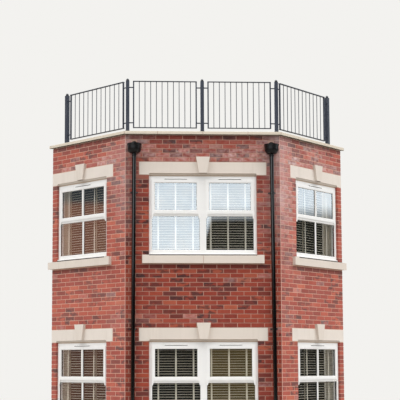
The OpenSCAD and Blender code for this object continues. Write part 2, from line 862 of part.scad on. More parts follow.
module ceilings() {
    color(plaster) {
        room_slab(first_floor_z - board_floor_t - joist_h - ceiling_t, ceiling_t);
        room_slab(deck_z - deck_t - joist_h - ceiling_t, ceiling_t);
    }
}

module front_coping() { color(stone) on_side(FRONT) coping(FRONT); }
module left_coping() { color(stone) on_side(LEFT) coping(LEFT); }
module right_coping() { color(stone) on_side(RIGHT) coping(RIGHT); }

module railing_posts() { color(railing) at_posts() post(); }
module post_caps() { color(black) at_posts() post_cap(); }

module front_left_panel() {
    color(railing) on_side(FRONT) rail_panel(front_posts[0], front_posts[1], front_bars);
}

module front_right_panel() {
    color(railing) on_side(FRONT) rail_panel(front_posts[1], front_posts[2], front_bars);
}

module left_panel() {
    color(railing) on_side(LEFT) rail_panel(rail_in * mitre, cant_len - end_post, cant_bars);
}

module right_panel() {
    color(railing) on_side(RIGHT) rail_panel(rail_in * mitre, cant_len - end_post, cant_bars);
}

module hoppers() { color(black) both_pipes() hopper(); }
module outlet_pipes() { color(black) both_pipes() outlet_pipe(); }

module downpipes() {
    color(black) difference() {
        both_pipes() downpipe();
        translate([-face_w, pipe_y - pipe_d, -pipe_d]) cube([2 * face_w, 2 * pipe_d, pipe_d]);
    }
}

module pipe_clips() {
    color(black)
        both_pipes()
            for (z = [low_clip_z, socket_z - clip_drop, clip_z])
                pipe_clip(z);
}

front_wall();
left_wall();
right_wall();
front_inner_leaf();
left_inner_leaf();
right_inner_leaf();
left_return();
right_return();
front_lintels();
left_lintels();
right_lintels();
keystones();
front_sills();
left_sills();
right_sills();
lower_front_frame();
lower_left_frame();
lower_right_frame();
upper_front_frame();
upper_left_frame();
upper_right_frame();
lower_sashes();
upper_sashes();
lower_glass();
upper_glass();
window_boards();
ground_floor();
first_floor_joists();
first_floor_boards();
roof_joists();
balcony_deck();
ceilings();
front_coping();
left_coping();
right_coping();
railing_posts();
post_caps();
front_left_panel();
front_right_panel();
left_panel();
right_panel();
hoppers();
outlet_pipes();
downpipes();
pipe_clips();
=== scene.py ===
# %% [markdown]
# # Finishing a two-storey canted bay window
# The bay was built first in a CAD program, at its real sizes: walls with their cavity, windows,
# stonework, floors, railing and rainwater pipes. Blender now gives every surface its finish, and
# adds what is too small or too many to draw in CAD: the single bricks, the slatted blinds, the
# sealant and the nuts. The CAD pieces are a fixed frame here. They are never moved or resized,
# because each of them has to stay where the drawing put it.

import math

import bmesh
import bpy
import numpy as np
from mathutils import Matrix, Vector


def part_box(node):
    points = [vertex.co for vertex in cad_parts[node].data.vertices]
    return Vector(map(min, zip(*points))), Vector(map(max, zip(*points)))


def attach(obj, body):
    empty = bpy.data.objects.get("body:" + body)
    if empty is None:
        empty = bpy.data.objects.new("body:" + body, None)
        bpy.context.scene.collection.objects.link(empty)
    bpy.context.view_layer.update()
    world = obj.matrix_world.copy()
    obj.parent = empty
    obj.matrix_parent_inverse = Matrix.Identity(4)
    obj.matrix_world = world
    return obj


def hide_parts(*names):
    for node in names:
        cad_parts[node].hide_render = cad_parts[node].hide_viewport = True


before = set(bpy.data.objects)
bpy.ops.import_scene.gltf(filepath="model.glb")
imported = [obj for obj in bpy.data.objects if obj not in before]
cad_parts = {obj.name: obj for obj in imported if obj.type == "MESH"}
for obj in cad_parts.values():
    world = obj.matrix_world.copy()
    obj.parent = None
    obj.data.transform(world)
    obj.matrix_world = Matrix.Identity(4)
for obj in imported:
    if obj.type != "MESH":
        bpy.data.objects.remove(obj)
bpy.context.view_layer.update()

# %% [markdown]
# ## The camera
# The bay is seen from about 18 metres away, from head height and a little to the left of its
# middle. The picture is a part of a wider view, so the lens looks slightly up and is shifted
# too. A camera can be turned with angles, but here its own three directions are worked out and
# written as a matrix, because the same directions served to measure the building.

# %% Camera
# The side of the square picture, the focal length and the point straight ahead, all in its dots
IMAGE, FOCAL_PX, AXIS_PX = 400, 1092.5, (172.97, 266.96)
# Where the lens is, and its turn to the right, its tilt upwards and its lean
EYE = (-1.3126, -19.3315, 1.8704)
YAW, PITCH, ROLL = 0.0447, 0.0886, -0.0025
FARTHEST = 500

scene = bpy.context.scene
forward = Vector((math.sin(YAW) * math.cos(PITCH), math.cos(YAW) * math.cos(PITCH), math.sin(PITCH)))
level = Vector((math.cos(YAW), -math.sin(YAW), 0.0))
upright = level.cross(forward)
right = level * math.cos(ROLL) + upright * math.sin(ROLL)
up = upright * math.cos(ROLL) - level * math.sin(ROLL)
camera_data = bpy.data.cameras.new("view")
camera_data.lens = FOCAL_PX / IMAGE * camera_data.sensor_width
camera_data.shift_x = (IMAGE / 2 - AXIS_PX[0]) / IMAGE
camera_data.shift_y = (AXIS_PX[1] - IMAGE / 2) / IMAGE
camera_data.clip_end = FARTHEST
camera = bpy.data.objects.new("view", camera_data)
scene.collection.objects.link(camera)
camera.matrix_world = Matrix.Translation(EYE) @ Matrix((right, up, -forward)).transposed().to_4x4()
scene.camera = camera
shift = round(camera_data.shift_x, 3), round(camera_data.shift_y, 3)
print("lens", round(camera_data.lens, 1), "mm, shift", *shift)

# %% [markdown]
# ## Colours and nodes
# A colour picked from a picture is in sRGB, but shaders calculate with linear light, so every
# hex colour is converted once, here. The other helpers add one shader node, or a few that always
# go together. A plain number is set on a node's input, and the output of another node is linked.

# %% Helpers for shader nodes
def srgb(code):
    """Linear RGBA of a hex colour such as #c8553d."""
    values = [int(code[i:i + 2], 16) / 255 for i in (1, 3, 5)]
    linear = [v / 12.92 if v <= 0.04045 else ((v + 0.055) / 1.055) ** 2.4 for v in values]
    return (*linear, 1.0)


def connect(tree, node, inputs):
    """Sets each named input of a node to a plain value, or links it to another node's output."""
    for name, value in inputs.items():
        if isinstance(value, bpy.types.NodeSocket):
            tree.links.new(value, node.inputs[name])
        else:
            node.inputs[name].default_value = value


def add(tree, kind, inputs=None, **settings):
    """Adds one shader node. An input is a plain value or the output of another node."""
    made = tree.nodes.new(kind)
    for name, value in settings.items():
        setattr(made, name, value)
    connect(tree, made, inputs or {})
    return made


def math_node(tree, operation, a, b=0.0, clamp=False):
    return add(tree, "ShaderNodeMath", {0: a, 1: b}, operation=operation, use_clamp=clamp).outputs[0]


def product(tree, value, *others):
    for other in others:
        value = math_node(tree, "MULTIPLY", value, other)
    return value


def opposite_of(tree, value):
    """One minus a value."""
    return math_node(tree, "SUBTRACT", 1.0, value)


def spread(tree, value, low, high, to_low=0.0, to_high=1.0):
    """Stretches a value from one range to another and cuts it off at the ends."""
    inputs = {"Value": value, "From Min": low, "From Max": high, "To Min": to_low, "To Max": to_high}
    return add(tree, "ShaderNodeMapRange", inputs).outputs["Result"]


# Where the colour sockets of a Mix node are among all its sockets
MIX_FACTOR, MIX_FIRST, MIX_SECOND, MIX_RESULT = 0, 6, 7, 2


def blend_colour(tree, factor, first, second):
    made = add(tree, "ShaderNodeMix", data_type="RGBA", blend_type="MIX")
    connect(tree, made, {MIX_FACTOR: factor, MIX_FIRST: first, MIX_SECOND: second})
    return made.outputs[MIX_RESULT]


def shade(tree, colour, value):
    """Makes a colour lighter or darker."""
    return add(tree, "ShaderNodeHueSaturation", {"Color": colour, "Value": value}).outputs["Color"]


def axes(tree, vector):
    return add(tree, "ShaderNodeSeparateXYZ", {0: vector}).outputs


def facing(tree, which="Normal"):
    """The direction that a surface looks in, as X, Y and Z."""
    return axes(tree, add(tree, "ShaderNodeNewGeometry").outputs[which])


def here(tree):
    """The place on the object, in its own metres."""
    return add(tree, "ShaderNodeTexCoord").outputs["Object"]


def noise(tree, scale, detail, stretch=None, seed=0.0):
    """Cloudy noise, stretched if three scales are given, and from another place with a seed."""
    where = here(tree)
    if stretch or seed:
        inputs = {"Vector": where, "Location": (seed, seed * 2, seed * 3), "Scale": stretch or (1, 1, 1)}
        where = add(tree, "ShaderNodeMapping", inputs).outputs["Vector"]
    return add(tree, "ShaderNodeTexNoise", {"Vector": where, "Scale": scale, "Detail": detail}).outputs["Fac"]


def patches(tree, scale, detail, cut, gives=(0.0, 1.0), stretch=None, seed=0.0):
    """Noise between two limits, spread over a range, which leaves patches with soft edges."""
    return spread(tree, noise(tree, scale, detail, stretch, seed), *cut, *gives)


print("half grey in linear light:", round(srgb("#808080")[0], 3))

# %% [markdown]
# ## Effects that several finishes share
# Stone, plastic and paint on one building weather in the same way: the colour drifts a little from
# place to place, rain leaves upright streaks, and dust lies on whatever faces the sky. The nodes
# for that could be copied into every material. As node groups they are built once, and every
# material that uses one sets its own amounts. A group gives out only colours, masks and heights.
# The shader itself stays in the material.

# %% A node group and its sockets
GREY = (0.5, 0.5, 0.5, 1.0)


def new_group(name, outputs, inputs):
    """A shader node group. Each input is named with its default, which is a colour or a number."""
    tree = bpy.data.node_groups.new(name, "ShaderNodeTree")
    for label, default in inputs.items():
        kind = "NodeSocketColor" if default is GREY else "NodeSocketFloat"
        tree.interface.new_socket(label, in_out="INPUT", socket_type=kind).default_value = default
    for label in outputs:
        kind = "NodeSocketColor" if label == "Color" else "NodeSocketFloat"
        tree.interface.new_socket(label, in_out="OUTPUT", socket_type=kind)
    return tree, tree.nodes.new("NodeGroupInput").outputs, tree.nodes.new("NodeGroupOutput").inputs


def overlay(tree, out, mask, under, over):
    """Ends a group: one colour covers another where the mask is high, and the mask is given out."""
    tree.links.new(blend_colour(tree, mask, under, over), out["Color"])
    tree.links.new(mask, out["Mask"])


print("a group's colours start as grey:", GREY)

# %% [markdown]
# The first two groups are for whole surfaces: clouds and specks in a colour, and the rough height
# of what was cast, fired or sprayed.

# %% Mottle and pores
def make_mottle():
    """Lets a colour grow lighter and darker in large clouds and in small specks."""
    tree, given, out = new_group("mottle", ["Color"], {
        "Color": GREY, "Cloud scale": 2.0, "Clouds": 0.1, "Speck scale": 300.0, "Specks": 0.05})
    value = 1.0
    for scale, amount, detail in (("Cloud scale", "Clouds", 4.0), ("Speck scale", "Specks", 2.0)):
        swing = math_node(tree, "SUBTRACT", noise(tree, given[scale], detail), 0.5)
        value = math_node(tree, "ADD", value, product(tree, swing, given[amount]))
    tree.links.new(shade(tree, given["Color"], value), out["Color"])
    return tree


def make_pores():
    """Height of a rough, slightly pitted surface, for a Bump node."""
    tree, given, out = new_group("pores", ["Height"], {"Grain scale": 400.0, "Pit scale": 90.0, "Pits": 0.5})
    grain = noise(tree, given["Grain scale"], detail=4.0)
    cells = add(tree, "ShaderNodeTexVoronoi", {"Vector": here(tree), "Scale": given["Pit scale"]})
    pits = product(tree, spread(tree, cells.outputs["Distance"], 0.0, 0.28), given["Pits"])
    tree.links.new(math_node(tree, "ADD", grain, pits), out["Height"])
    return tree


MOTTLE, PORES = make_mottle(), make_pores()
print("node groups:", [g.name for g in bpy.data.node_groups])

# %% [markdown]
# The weather's groups find their places by themselves. Dust lies where a face looks up, faces that
# look down get painted shade, as the sky lights them least, rain streaks run down upright faces, and
# faces that look sideways are dry, because sun and wind reach them sooner.

# %% Weather
def make_streaks():
    """Upright marks that rain leaves on a wall, mixed into a colour."""
    tree, given, out = new_group("rain_streaks", ["Color", "Mask"], {
        "Color": GREY, "Dirt": GREY, "Amount": 0.3, "Width scale": 25.0})
    lines = patches(tree, given["Width scale"], detail=3.0, cut=(0.5, 0.72), stretch=(1.0, 1.0, 0.07))
    wet = patches(tree, scale=1.7, detail=2.0, cut=(0.4, 0.6), seed=3.0)
    steep = math_node(tree, "SUBTRACT", 1.0, math_node(tree, "ABSOLUTE", facing(tree)["Z"]), clamp=True)
    overlay(tree, out, product(tree, lines, wet, steep, given["Amount"]), given["Color"], given["Dirt"])
    return tree


def make_dust():
    """Dust and green growth on faces that look at the sky."""
    tree, given, out = new_group("settled_dust", ["Color", "Mask"], {
        "Color": GREY, "Dust": GREY, "Amount": 0.5})
    upward = spread(tree, facing(tree)["Z"], 0.3, 0.95)
    uneven = patches(tree, scale=9.0, detail=5.0, cut=(0.3, 0.7), gives=(0.25, 1.0), seed=5.0)
    overlay(tree, out, product(tree, upward, uneven, given["Amount"]), given["Color"], given["Dust"])
    return tree


def make_undersides():
    """Painted shade on faces that look down, which the overcast sky lights least."""
    tree, given, out = new_group("shaded_undersides", ["Color", "Mask"], {
        "Color": GREY, "Soot": GREY, "Amount": 0.6})
    down = spread(tree, facing(tree)["Z"], -0.15, -0.7)
    uneven = patches(tree, scale=7.0, detail=4.0, cut=(0.3, 0.6), gives=(0.8, 1.0), seed=6.0)
    overlay(tree, out, product(tree, down, uneven, given["Amount"]), given["Color"], given["Soot"])
    return tree


def make_dry_sides():
    """Faces that look sideways dry sooner than the front. Dry brick is paler, with a haze of salts."""
    tree, given, out = new_group("dry_sides", ["Color", "Mask"], {
        "Color": GREY, "Paler": 0.3, "Salts": GREY, "Haze": 0.05})
    sideways = spread(tree, math_node(tree, "ABSOLUTE", facing(tree, "True Normal")["X"]), 0.4, 0.6)
    uneven = patches(tree, scale=2.2, detail=4.0, cut=(0.3, 0.65), gives=(0.8, 1.1), seed=8.0)
    mask = product(tree, sideways, uneven)
    paler = shade(tree, given["Color"], math_node(tree, "ADD", product(tree, mask, given["Paler"]), 1.0))
    hazy = blend_colour(tree, product(tree, mask, given["Haze"]), paler, given["Salts"])
    tree.links.new(hazy, out["Color"])
    tree.links.new(mask, out["Mask"])
    return tree


STREAKS, DUST, UNDERSIDES, DRY_SIDES = make_streaks(), make_dust(), make_undersides(), make_dry_sides()
print("node groups:", len(bpy.data.node_groups))

# %% [markdown]
# Where the hoppers splash, both sides of the bay's upper corners carry a soft white haze of lime.
# It is strongest at the corner and lies on bricks and joints alike, so it is a group too. On the
# left-hand corner less of it is left.

# %% Lime haze
CORNER_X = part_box("front_wall")[1].x
HAZE_WIDTH, HAZE_RISE, HAZE_ON_LEFT = (0.03, 0.30), (3.8, 4.6), 0.45


def make_lime_haze():
    """White haze on both sides of the bay's upper corners."""
    tree, given, out = new_group("lime_haze", ["Color", "Mask"], {"Color": GREY, "Lime": GREY, "Amount": 0.3})
    place = axes(tree, here(tree))
    across = math_node(tree, "SUBTRACT", math_node(tree, "ABSOLUTE", place["X"]), CORNER_X)
    near = spread(tree, math_node(tree, "ABSOLUTE", across), *HAZE_WIDTH, 1.0, 0.0)
    high = spread(tree, place["Z"], *HAZE_RISE)
    side = spread(tree, place["X"], -1.0, 1.0, HAZE_ON_LEFT, 1.0)
    uneven = patches(tree, scale=3.2, detail=5.0, cut=(0.38, 0.62), gives=(0.15, 1.0), seed=12.0)
    mask = product(tree, near, high, side, uneven, given["Amount"])
    overlay(tree, out, mask, given["Color"], given["Lime"])
    return tree


LIME_HAZE = make_lime_haze()


def use(tree, group, **inputs):
    """Places a node group and gives its outputs. In the names, _ stands for a space."""
    made = tree.nodes.new("ShaderNodeGroup")
    made.node_tree = group
    connect(tree, made, {name.replace("_", " "): value for name, value in inputs.items()})
    return made.outputs


def layer(tree, group, colour, **inputs):
    """A colour after a group's effect."""
    return use(tree, group, Color=colour, **inputs)["Color"]


print("haze on both sides of x =", round(CORNER_X, 3))

# %% [markdown]
# ## Light
# The light is that of a bright, cloudy day. Such a sky is brightest overhead, so faces that look
# down stay dark and every ledge throws a soft shadow. Two large, soft lamps, one on each side,
# make the canted sides a little brighter than the front, and the right one is the stronger. The
# lens sees a plain pale backdrop.
#
# Glass and black plastic need something to mirror, so mirror rays see a pale sky above a dark,
# stepped skyline. It is low where the left half of the front window mirrors it, and high straight
# ahead and at both sides. It is nearly black, but brick red far to the left, and tan low down where
# the right half of the front window mirrors it. A picture of a sky could be wrapped round the scene
# instead, but a few slopes, worked out from the ray's own direction, need no picture.

# %% What the glass mirrors
# A ray's direction is given by how far it goes to the side and upwards. Each block of the skyline
# starts and ends across between two such values, which give it soft edges.
TALL, LOWEST, LOW_LINE, HIGH_LINE = 0.30, 0.05, 0.088, 0.136
LINE_STEP = (0.066, 0.080)
AHEAD = ((-0.060, -0.040), (0.018, 0.023))
BESIDE = ((0.122, 0.128), (0.920, 0.950))
FAR_LEFT = (-0.85, -0.70)
RED_PART, RED_TOP = (-0.80, -0.70), (0.143, 0.149)
TAN_PART, TAN_TOP = ((0.070, 0.074), (0.121, 0.125)), (0.0135, 0.0145)
LINE_BLUR = 0.007
MIRRORED_SKY, MIRROR_STRENGTH = srgb("#ecf1f5"), 2.10


def between(tree, value, rise, fall, full=1.0, beyond=0.0):
    """Rises from nothing to its full height and falls again."""
    rising, falling = spread(tree, value, *rise, 0.0, full), spread(tree, value, *fall, full, beyond)
    return math_node(tree, "MINIMUM", rising, falling)


def mirrored_colour(tree, across, height):
    """The colour of the sky or the skyline that a mirror ray meets."""
    skyline = spread(tree, across, *LINE_STEP, LOW_LINE, HIGH_LINE)
    for part in (between(tree, across, *AHEAD, TALL), between(tree, across, *BESIDE, TALL, LOWEST),
                 spread(tree, across, *FAR_LEFT, TALL, 0.0)):
        skyline = math_node(tree, "MAXIMUM", skyline, part)
    red = blend_colour(tree, spread(tree, height, *RED_TOP), srgb("#7a5142"), srgb("#34373a"))
    tan = product(tree, between(tree, across, *TAN_PART), spread(tree, height, *TAN_TOP, 1.0, 0.0))
    dark = blend_colour(tree, tan, srgb("#1a1b18"), srgb("#725f3b"))
    below = blend_colour(tree, spread(tree, across, *RED_PART), red, dark)
    above = math_node(tree, "SUBTRACT", height, skyline)
    return blend_colour(tree, spread(tree, above, -LINE_BLUR, LINE_BLUR), below, MIRRORED_SKY)


print("skyline straight ahead up to", round(math.degrees(math.asin(TALL)), 1), "degrees")

# %% [markdown]
# One world holds three lights: the cloudy sky that shines on the bay, what mirror rays see, and
# the backdrop that the lens sees. The Light Path node tells the rays apart.

# %% World and lamps
SKY_LOW, SKY_HIGH, SKY_RISE, SKY_STRENGTH = srgb("#abadb1"), srgb("#ffffff"), 0.9, 0.95
BACKDROP = srgb("#f3f2ef")
LAMP_TURN, LAMP_HEIGHT, LAMP_SIZE = 62, 55, 50
RIGHT_LAMP, LEFT_LAMP = 2.05, 1.75


def make_world():
    world = bpy.data.worlds.new("cloudy_day")
    scene.world = world
    world.use_nodes = True
    tree = world.node_tree
    tree.nodes.clear()
    seen = add(tree, "ShaderNodeLightPath").outputs
    direction = axes(tree, add(tree, "ShaderNodeTexCoord").outputs["Generated"])
    overcast = blend_colour(tree, spread(tree, direction["Z"], 0.0, SKY_RISE), SKY_LOW, SKY_HIGH)
    surroundings = mirrored_colour(tree, direction["X"], direction["Z"])
    sources = ((overcast, SKY_STRENGTH), (surroundings, MIRROR_STRENGTH), (BACKDROP, 1.0))
    lighting, mirrored, backdrop = (
        add(tree, "ShaderNodeBackground", {"Color": colour, "Strength": strength}).outputs[0]
        for colour, strength in sources)
    unseen = add(tree, "ShaderNodeMixShader", {0: seen["Is Glossy Ray"], 1: lighting, 2: mirrored}).outputs[0]
    whole = add(tree, "ShaderNodeMixShader", {0: seen["Is Camera Ray"], 1: unseen, 2: backdrop}).outputs[0]
    add(tree, "ShaderNodeOutputWorld", {"Surface": whole})


def soft_lamp(name, turn, energy):
    """A large, soft lamp that shines from above, turned so many degrees to the right of the front."""
    lamp = bpy.data.objects.new(name, bpy.data.lights.new(name, "SUN"))
    scene.collection.objects.link(lamp)
    lamp.data.energy = energy
    lamp.data.angle = math.radians(LAMP_SIZE)
    lamp.rotation_euler = (math.pi / 2 - math.radians(LAMP_HEIGHT), 0, math.radians(turn))


make_world()
soft_lamp("right_cloud", LAMP_TURN, RIGHT_LAMP)
soft_lamp("left_cloud", -LAMP_TURN, LEFT_LAMP)
scene.view_settings.view_transform = "Standard"

# %% [markdown]
# ## The floor and the dark of the rooms
# The floor is a plain pale sheet that keeps the shadow. The bay is open at its back, but through
# real windows one looks into dim rooms. Rooms could be built, or the back closed with a wall, but
# neither belongs to the part. So a dark card stands behind each storey, as painted shade for the
# dim rooms. It is one-sided: only the lens, looking in from the front, meets it. Light passes it,
# and from behind it isn't there, so the inside can be looked into.

# %% Floor and room cards
FLOOR_HALF = 30.0
WALL_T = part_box("left_return")[1].y


def stage_plane(name, corners, material):
    mesh = bpy.data.meshes.new(name)
    mesh.from_pydata(corners, [], [range(len(corners))])
    mesh.materials.append(material)
    made = bpy.data.objects.new(name, mesh)
    scene.collection.objects.link(made)


def floor_material():
    made = bpy.data.materials.new("pale_floor")
    made.use_nodes = True
    shader = made.node_tree.nodes["Principled BSDF"]
    shader.inputs["Base Color"].default_value = srgb("#a6a39d")
    shader.inputs["Roughness"].default_value = 0.9
    return made


def dim_room_material():
    made = bpy.data.materials.new("dim_room")
    made.use_nodes = True
    tree = made.node_tree
    tree.nodes.clear()
    seen = add(tree, "ShaderNodeLightPath").outputs["Is Camera Ray"]
    behind = add(tree, "ShaderNodeNewGeometry").outputs["Backfacing"]
    clear = add(tree, "ShaderNodeBsdfTransparent").outputs[0]
    # A faint dark glow: painted shade of an unlit room
    dark = add(tree, "ShaderNodeEmission", {"Color": srgb("#1b1a17"), "Strength": 1.0}).outputs[0]
    shown = product(tree, seen, opposite_of(tree, behind))
    mixed = add(tree, "ShaderNodeMixShader", {0: shown, 1: clear, 2: dark}).outputs[0]
    add(tree, "ShaderNodeOutputMaterial", {"Surface": mixed})
    return made


stage_plane("floor", [(x * FLOOR_HALF, y * FLOOR_HALF, 0) for x, y in ((-1, -1), (1, -1), (1, 1), (-1, 1))],
            floor_material())
dim_room = dim_room_material()
room_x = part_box("ground_floor")[1].x
for storey, below, above in (("ground", "ground_floor", "first_floor_joists"),
                             ("first", "first_floor_boards", "roof_joists")):
    z0, z1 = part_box(below)[1].z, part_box(above)[0].z
    corners = [(x, WALL_T, z) for x, z in ((-room_x, z0), (room_x, z0), (room_x, z1), (-room_x, z1))]
    stage_plane("dim_room_" + storey, corners, dim_room)
    print(storey, "room card from", round(z0, 2), "to", round(z1, 2))

# %% [markdown]
# ## Sizes that the small pieces need
# The bricks and blinds are set out along each face of the bay, so every face gets its own
# directions: x runs along the face from the bay's corner, y goes into the wall, z is up. The left
# side is the mirror image of the right one. The wall's sizes are read from the CAD pieces.

# %% Faces of the bay
STOREYS = ("lower", "upper")
CANTED = ("left", "right")
SIDES = ("front", *CANTED)
wall_low, wall_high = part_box("front_wall")
FACE_W = wall_high.x - wall_low.x
PROJECTION = -wall_low.y
WALL_H = wall_high.z
SIDE_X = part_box("right_return")[1].x
TURN = math.atan2(PROJECTION, SIDE_X - FACE_W / 2)
CANT_L = PROJECTION / math.sin(TURN)
MITRE = math.tan(TURN / 2)
LENGTHS = {"front": FACE_W, "left": CANT_L, "right": CANT_L, "left_end": WALL_T, "right_end": WALL_T}


def to_world(side, points):
    """Points given along a face, as x, y and z, in the row's own frame."""
    x, y, z = np.asarray(points, float).T
    if side == "front":
        return np.column_stack((x - FACE_W / 2, y - PROJECTION, z))
    if side.endswith("_end"):
        along, across = SIDE_X - y, x
    else:
        along = FACE_W / 2 + x * math.cos(TURN) - y * math.sin(TURN)
        across = -PROJECTION + x * math.sin(TURN) + y * math.cos(TURN)
    return np.column_stack((-along if side.startswith("left") else along, across, z))


def to_face(side, points):
    """The other way round: the row's own frame back to x, y and z along a face."""
    along, across, z = np.asarray(points, float).T
    if side == "front":
        return np.column_stack((along + FACE_W / 2, across + PROJECTION, z))
    along = (-along if side == "left" else along) - FACE_W / 2
    across = across + PROJECTION
    return np.column_stack((along * math.cos(TURN) + across * math.sin(TURN),
                            across * math.cos(TURN) - along * math.sin(TURN), z))


print("front", round(FACE_W, 3), "sides", round(CANT_L, 3), "at", round(math.degrees(TURN), 1), "degrees")

# %% [markdown]
# The window openings could be typed in again. They are told from the frames that stand in them,
# with the gaps that are left for fitting at the sides and the head, so both always agree.

# %% Window openings
SIDE_GAP, HEAD_GAP, CILL_OUT = 0.005, 0.020, 0.028
# How far the lintels run on past their openings
BEARINGS = {"front": 0.160, "left": 0.150, "right": 0.150}
# How far the middles of the front window's two lights are from its own middle
LIGHT_OFF = 0.454


def clean(length):
    """A measured length, rounded to a tenth of a millimetre."""
    return round(float(length), 4)


def opening(side):
    """Where the opening of a face starts, how wide it is, and how far its lintel runs on."""
    points = [v.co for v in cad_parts["lower_" + side + "_frame"].data.vertices]
    along = to_face(side, points)[:, 0]
    return clean(along.min() - SIDE_GAP), clean(along.max() - along.min() + 2 * SIDE_GAP), BEARINGS[side]


OPENINGS = {side: opening(side) for side in SIDES}
SILLS = tuple(clean(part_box(storey + "_front_frame")[0].z) for storey in STOREYS)
frame_low, frame_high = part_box("lower_front_frame")
OPENING_H = clean(frame_high.z - frame_low.z + HEAD_GAP)
FRAME_FACE = clean(frame_low.y + PROJECTION + CILL_OUT)
LIGHT_MIDDLES = {side: (x0 + width / 2,) for side, (x0, width, _) in OPENINGS.items()}
LIGHT_MIDDLES["front"] = (FACE_W / 2 - LIGHT_OFF, FACE_W / 2 + LIGHT_OFF)
print("openings:", OPENINGS, "height", OPENING_H, "sills at", SILLS)

# %% [markdown]
# ## Building one mesh from many small solids
# A wall has hundreds of bricks. As objects they would be slow and a burden to whoever uses the
# part, so each kind of small piece is gathered into one mesh. Every solid is lofted: a few closed
# outlines, one behind the other, joined by strips and closed at both ends. Marks such as the tone
# of a brick are stored on its faces, where the material can read them.

# %% Mesh helpers
def finish_piece(name, mesh, materials, replaces=()):
    """Puts a mesh in the scene as a piece that rides on the building."""
    made = bpy.data.objects.new(name, mesh)
    scene.collection.objects.link(made)
    for material in materials:
        mesh.materials.append(material)
    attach(made, "root")
    if replaces:
        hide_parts(*replaces)


class Batch:
    """Gathers small closed solids, and what is marked on them, for one joined mesh."""

    def __init__(self):
        self.points, self.faces, self.marks, self.solids = [], [], {}, 0

    def loft(self, side, rings, **marks):
        """Adds a closed solid through outlines of equal length, given along a face."""
        start, n = len(self.points), len(rings[0])
        self.points.extend(map(tuple, to_world(side, np.concatenate(rings))))
        last = start + (len(rings) - 1) * n
        faces = [[start + i for i in range(n)], [last + i for i in reversed(range(n))]]
        for a in range(start, last, n):
            faces += [[a + (i + 1) % n, a + i, a + n + i, a + n + (i + 1) % n] for i in range(n)]
        self.faces += faces
        for name, value in marks.items():
            self.marks.setdefault(name, []).extend([value] * len(faces))
        self.solids += 1

    def piece(self, name, material, slot, replaces=()):
        mesh = bpy.data.meshes.new(name)
        mesh.from_pydata(self.points, [], self.faces)
        work = bmesh.new()
        work.from_mesh(mesh)
        bmesh.ops.recalc_face_normals(work, faces=work.faces)
        work.to_mesh(mesh)
        work.free()
        for mark, values in self.marks.items():
            mesh.attributes.new(mark, "FLOAT", "FACE").data.foreach_set("value", values)
        finish_piece(name, mesh, [material], replaces)
        print(name, "-", self.solids, "solids,", sum(len(f) - 2 for f in self.faces), "triangles")


def bar(profile, x0, x1):
    """Outlines of a bar that runs along a face, from a profile in y and z."""
    return [np.array([(x, y, z) for y, z in profile]) for x in (x0, x1)]


def box_profile(y0, y1, z0, z1):
    return [(y0, z0), (y1, z0), (y1, z1), (y0, z1)]


trial = Batch()
trial.loft("front", bar(box_profile(0, 1, 0, 1), 0, 1))
print("a box from two outlines:", len(trial.points), "points,", len(trial.faces), "faces")

# %% [markdown]
# ## Materials
# Each finish starts from the same Principled shader. What differs is what feeds it: a base
# colour that drifts a little, a roughness, and a bump that is as coarse as the real surface.

# %% Material starter
def start_material(name, roughness, metallic=0.0, specular=0.5, coat=0.0):
    """A new material with its own shader, ready for its colour and bump."""
    made = bpy.data.materials.new(name)
    made.use_nodes = True
    shader = made.node_tree.nodes["Principled BSDF"]
    connect(made.node_tree, shader, {"Roughness": roughness, "Metallic": metallic,
                                     "Specular IOR Level": specular, "Coat Weight": coat})
    return made, made.node_tree, shader


def finish_surface(tree, shader, colour, height, depth, strength):
    """Feeds the shader a colour, and a height as a bump of so many metres."""
    raised = add(tree, "ShaderNodeBump", {"Height": height, "Distance": depth, "Strength": strength})
    connect(tree, shader, {"Base Color": colour, "Normal": raised.outputs["Normal"]})


def pores(tree, grain_scale, pit_scale, pits):
    return use(tree, PORES, Grain_scale=grain_scale, Pit_scale=pit_scale, Pits=pits)["Height"]


def mottled(tree, colour, cloud_scale, clouds, speck_scale, specks):
    amounts = {"Cloud_scale": cloud_scale, "Clouds": clouds, "Speck_scale": speck_scale, "Specks": specks}
    return layer(tree, MOTTLE, colour, **amounts)


def streaked(tree, colour, code, amount, width_scale):
    return layer(tree, STREAKS, colour, Dirt=srgb(code), Amount=amount, Width_scale=width_scale)


print("materials so far:", [made.name for made in bpy.data.materials])

# %% [markdown]
# ### Brick and mortar
# The facing bricks are red stocks with a sanded face. Most are a warm red, some are orange or
# purple, and about one in three carries blue-grey smudges from the kiln. Salts have dried to a
# white bloom near the corners, round the hoppers and over the lintels. A brick texture could draw
# all this on a flat wall, but its bricks wouldn't meet the cuts of real ones. So the tone, the
# smudging and the bloom are marks on each solid brick, and one material turns them into colour.

# %% Brick and mortar materials
TONES = ((0.0, "#5c3331"), (0.2, "#78352c"), (0.45, "#8d3b2f"), (0.7, "#9d4735"), (0.88, "#a75640"),
         (1.0, "#985e50"))
BURNT, BLOOM_WHITE = srgb("#3b2a2b"), srgb("#dcc3bf")
BRICK_LIME, MORTAR_LIME = srgb("#d2b9b8"), srgb("#e6d2cc")


def mark(tree, name):
    """What is marked on the faces under a name, such as a brick's tone."""
    return add(tree, "ShaderNodeAttribute", attribute_name=name).outputs["Fac"]


def tone_ramp(tree, tone):
    """A brick's colour by its tone, from burnt purple to pale orange."""
    ramp = add(tree, "ShaderNodeValToRGB", {"Fac": tone})
    elements = ramp.color_ramp.elements
    while len(elements) < len(TONES):
        elements.new(0.5)
    for element, (place, code) in zip(elements, TONES):
        element.position, element.color = place, srgb(code)
    return ramp.outputs["Color"]


